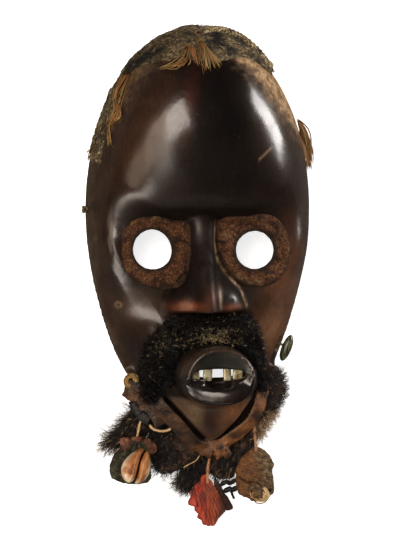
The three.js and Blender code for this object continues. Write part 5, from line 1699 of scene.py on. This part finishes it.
# Each coat: how many hairs, their heading in degrees and its spread, their length, their height, their finish, a part
COATS = {
    "left": [(1350, 216, 0.35, (6, 12), (2, 6.5), brown_fur, "all over"),
             (160, 205, 0.4, (11, 16), (2, 6), brown_fur, "all over")],
    "middle": [(2200, 238, 0.4, (5, 9), (3, 6), dark_fur, "upper left"),
               (900, 236, 0.3, (8, 14), (2, 4.5), brown_fur, "lower left"),
               (800, 312, 0.4, (5, 9), (4.6, 5.8), dark_fur, "all over"),
               (420, 244, 0.35, (6, 11), (1.5, 4), brown_fur, "fringe")],
    "tuft": [(1100, 236, 0.35, (5, 10), (1.2, 4.4), dark_fur, "all over"),
             (260, 215, 0.4, (6, 12), (1, 3), brown_fur, "left side")],
    "centre": [(1600, 262, 0.35, (5, 9), (1.5, 5.5), dark_fur, "all over"),
               (260, 268, 0.35, (6, 10), (2, 5), tan_fur, "tips"),
               (600, 245, 0.4, (5, 9), (2, 5), dark_fur, "left edge")],
    "right": [(1900, -18, 0.45, (4, 8), (4, 12), brown_fur, "high"),
              (1900, -48, 0.45, (4.5, 11), (3, 12.5), tan_fur, "low")],
}
HIDE_TOP = {"left": 5.0, "middle": 5.2, "tuft": 2.6, "centre": 4.4, "right": 11}
for side, outline in HIDES.items():
    hide_piece = pillow(f"hide_{side}", outline, 0.4, HIDE_TOP[side], rows=34, around=90, edge=0.6, ragged=2.0,
                        seed=len(side) + 1, shape=crumpled(2.0, 7, 3, 0.8))
    keep(hide_piece.data, along=0, tone=0)
    fit(hide_piece, skin, f"beard_{side}")
    for number, (count, heading, spread, length, top, finish, part) in enumerate(COATS[side]):
        hairs = fur(f"fur_{side}_{number}", outline, count, heading, spread, length, top, part, rng)
        fit(hairs, finish)
for number, (size, stick) in enumerate((
    (1.45, [(13.5, -142.5, 3.5), (16.6, -140.2, 5.5), (19.4, -140.8, 5.4), (23.4, -138.6, 5)]),
    (1.7, [(15.6, -146.4, 3.4), (18.6, -144.6, 5), (20.8, -145, 5.2), (24.4, -143.2, 5)]),
    (0.8, [(19.8, -145.2, 4), (21, -148.6, 4), (22.2, -151, 3)]),
)):
    twist = sweep(f"twisted_lock_{number}", stick, corded(size, 2, 2.5, 0.12), rows=50, around=10, close=0.15)
    fit(twist, dark_fur)
quill_at = curve_through([(-9.5, -131, 6.2), (-5.5, -128.6, 7.2), (-1.6, -126.4, 7.6), (0.8, -122.6, 8)], 12)
quill = strands("hide_quill", quill_at[None], np.array([[0] + [0.34] * 9 + [0.2, 0]]), sides=6)
fit(quill, pale_thong)
# ----------
# The studio: a plain pale floor, soft boxes to the left and right, and the camera.
LOOK_AT = Vector((0.0033, 0.0009, 0.0))
TO_CAMERA = Vector((-0.139, 0.052, 0.989)).normalized()


def facing(direction):
    """The turn that points an object's -Z axis at the mask from that direction, with its top to the mask's top."""
    z = direction.normalized()
    x = Vector((0, 1, 0)).cross(z).normalized()
    return Matrix((x, z.cross(x), z)).transposed().to_euler()


camera = bpy.data.cameras.new("camera")
camera.lens = 135
camera.sensor_fit = "VERTICAL"
camera.sensor_height = 36
camera.clip_start = 0.05
view = bpy.data.objects.new("camera", camera)
bpy.context.collection.objects.link(view)
view.location = LOOK_AT + TO_CAMERA * 1.235
view.rotation_euler = facing(TO_CAMERA)
bpy.context.scene.camera = view


def soft_box(name, azimuth, elevation, wide, tall, distance, radiance, turn=0, colour=(1, 1, 1)):
    """An area light that covers the given angles in degrees as seen from the mask."""
    a, e = math.radians(azimuth), math.radians(elevation)
    direction = Vector((math.cos(e) * math.sin(a), math.sin(e), math.cos(e) * math.cos(a)))
    lamp = bpy.data.lights.new(name, "AREA")
    lamp.shape = "RECTANGLE"
    lamp.size = 2 * distance * math.tan(math.radians(wide / 2))
    lamp.size_y = 2 * distance * math.tan(math.radians(tall / 2))
    lamp.energy = radiance * math.pi * lamp.size * lamp.size_y
    lamp.color = colour
    light = bpy.data.objects.new(name, lamp)
    bpy.context.collection.objects.link(light)
    light.location = LOOK_AT + Vector((0, 0, 0.03)) + direction * distance
    light.rotation_euler = (facing(direction).to_matrix() @ Matrix.Rotation(math.radians(turn), 3, "Z")).to_euler()


soft_box("key", -17, 19, 21, 24, 1.3, 9.5, turn=24, colour=(1, 0.93, 0.85))
soft_box("key_left", -36, 9, 22, 24, 1.35, 3.6, turn=24, colour=(1, 0.87, 0.72))
soft_box("key_low", -54, -3, 24, 22, 1.4, 1.9, turn=24, colour=(1, 0.82, 0.64))
soft_box("low_strip", -54, -31, 54, 12, 1.3, 6.5, turn=27, colour=(1, 0.93, 0.84))
soft_box("low_front", -22, -6, 15, 16, 1.4, 3.4, turn=27, colour=(1, 0.93, 0.84))
soft_box("chin_fill", -6, -48, 30, 16, 1.3, 1.2, colour=(1, 0.93, 0.84))
soft_box("side_strip", 74, 22, 18, 34, 1.3, 17, turn=36)

deselect()
bpy.ops.mesh.primitive_plane_add(size=6, location=(0, 0, 0))
floor = bpy.context.object
floor.name = "floor"
paper, tree, shader, place = new_finish("pale_floor", 0.9, 0.0, Emission_Color=(1, 1, 1, 1))
seen = add(tree, "LightPath").outputs["Is Camera Ray"]
tree.links.new(math_node(tree, "MULTIPLY", seen, 0.8), shader.inputs["Emission Strength"])
tree.links.new(blend(tree, seen, (0.12, 0.12, 0.12), (0.86, 0.86, 0.85)), shader.inputs["Base Color"])
floor.data.materials.append(paper)

world = bpy.data.worlds.new("room")
world.use_nodes = True
world.node_tree.nodes["Background"].inputs["Color"].default_value = (0.03, 0.03, 0.033, 1)
world.node_tree.nodes["Background"].inputs["Strength"].default_value = 1.0
bpy.context.scene.world = world
bpy.context.scene.view_settings.view_transform = "Standard"
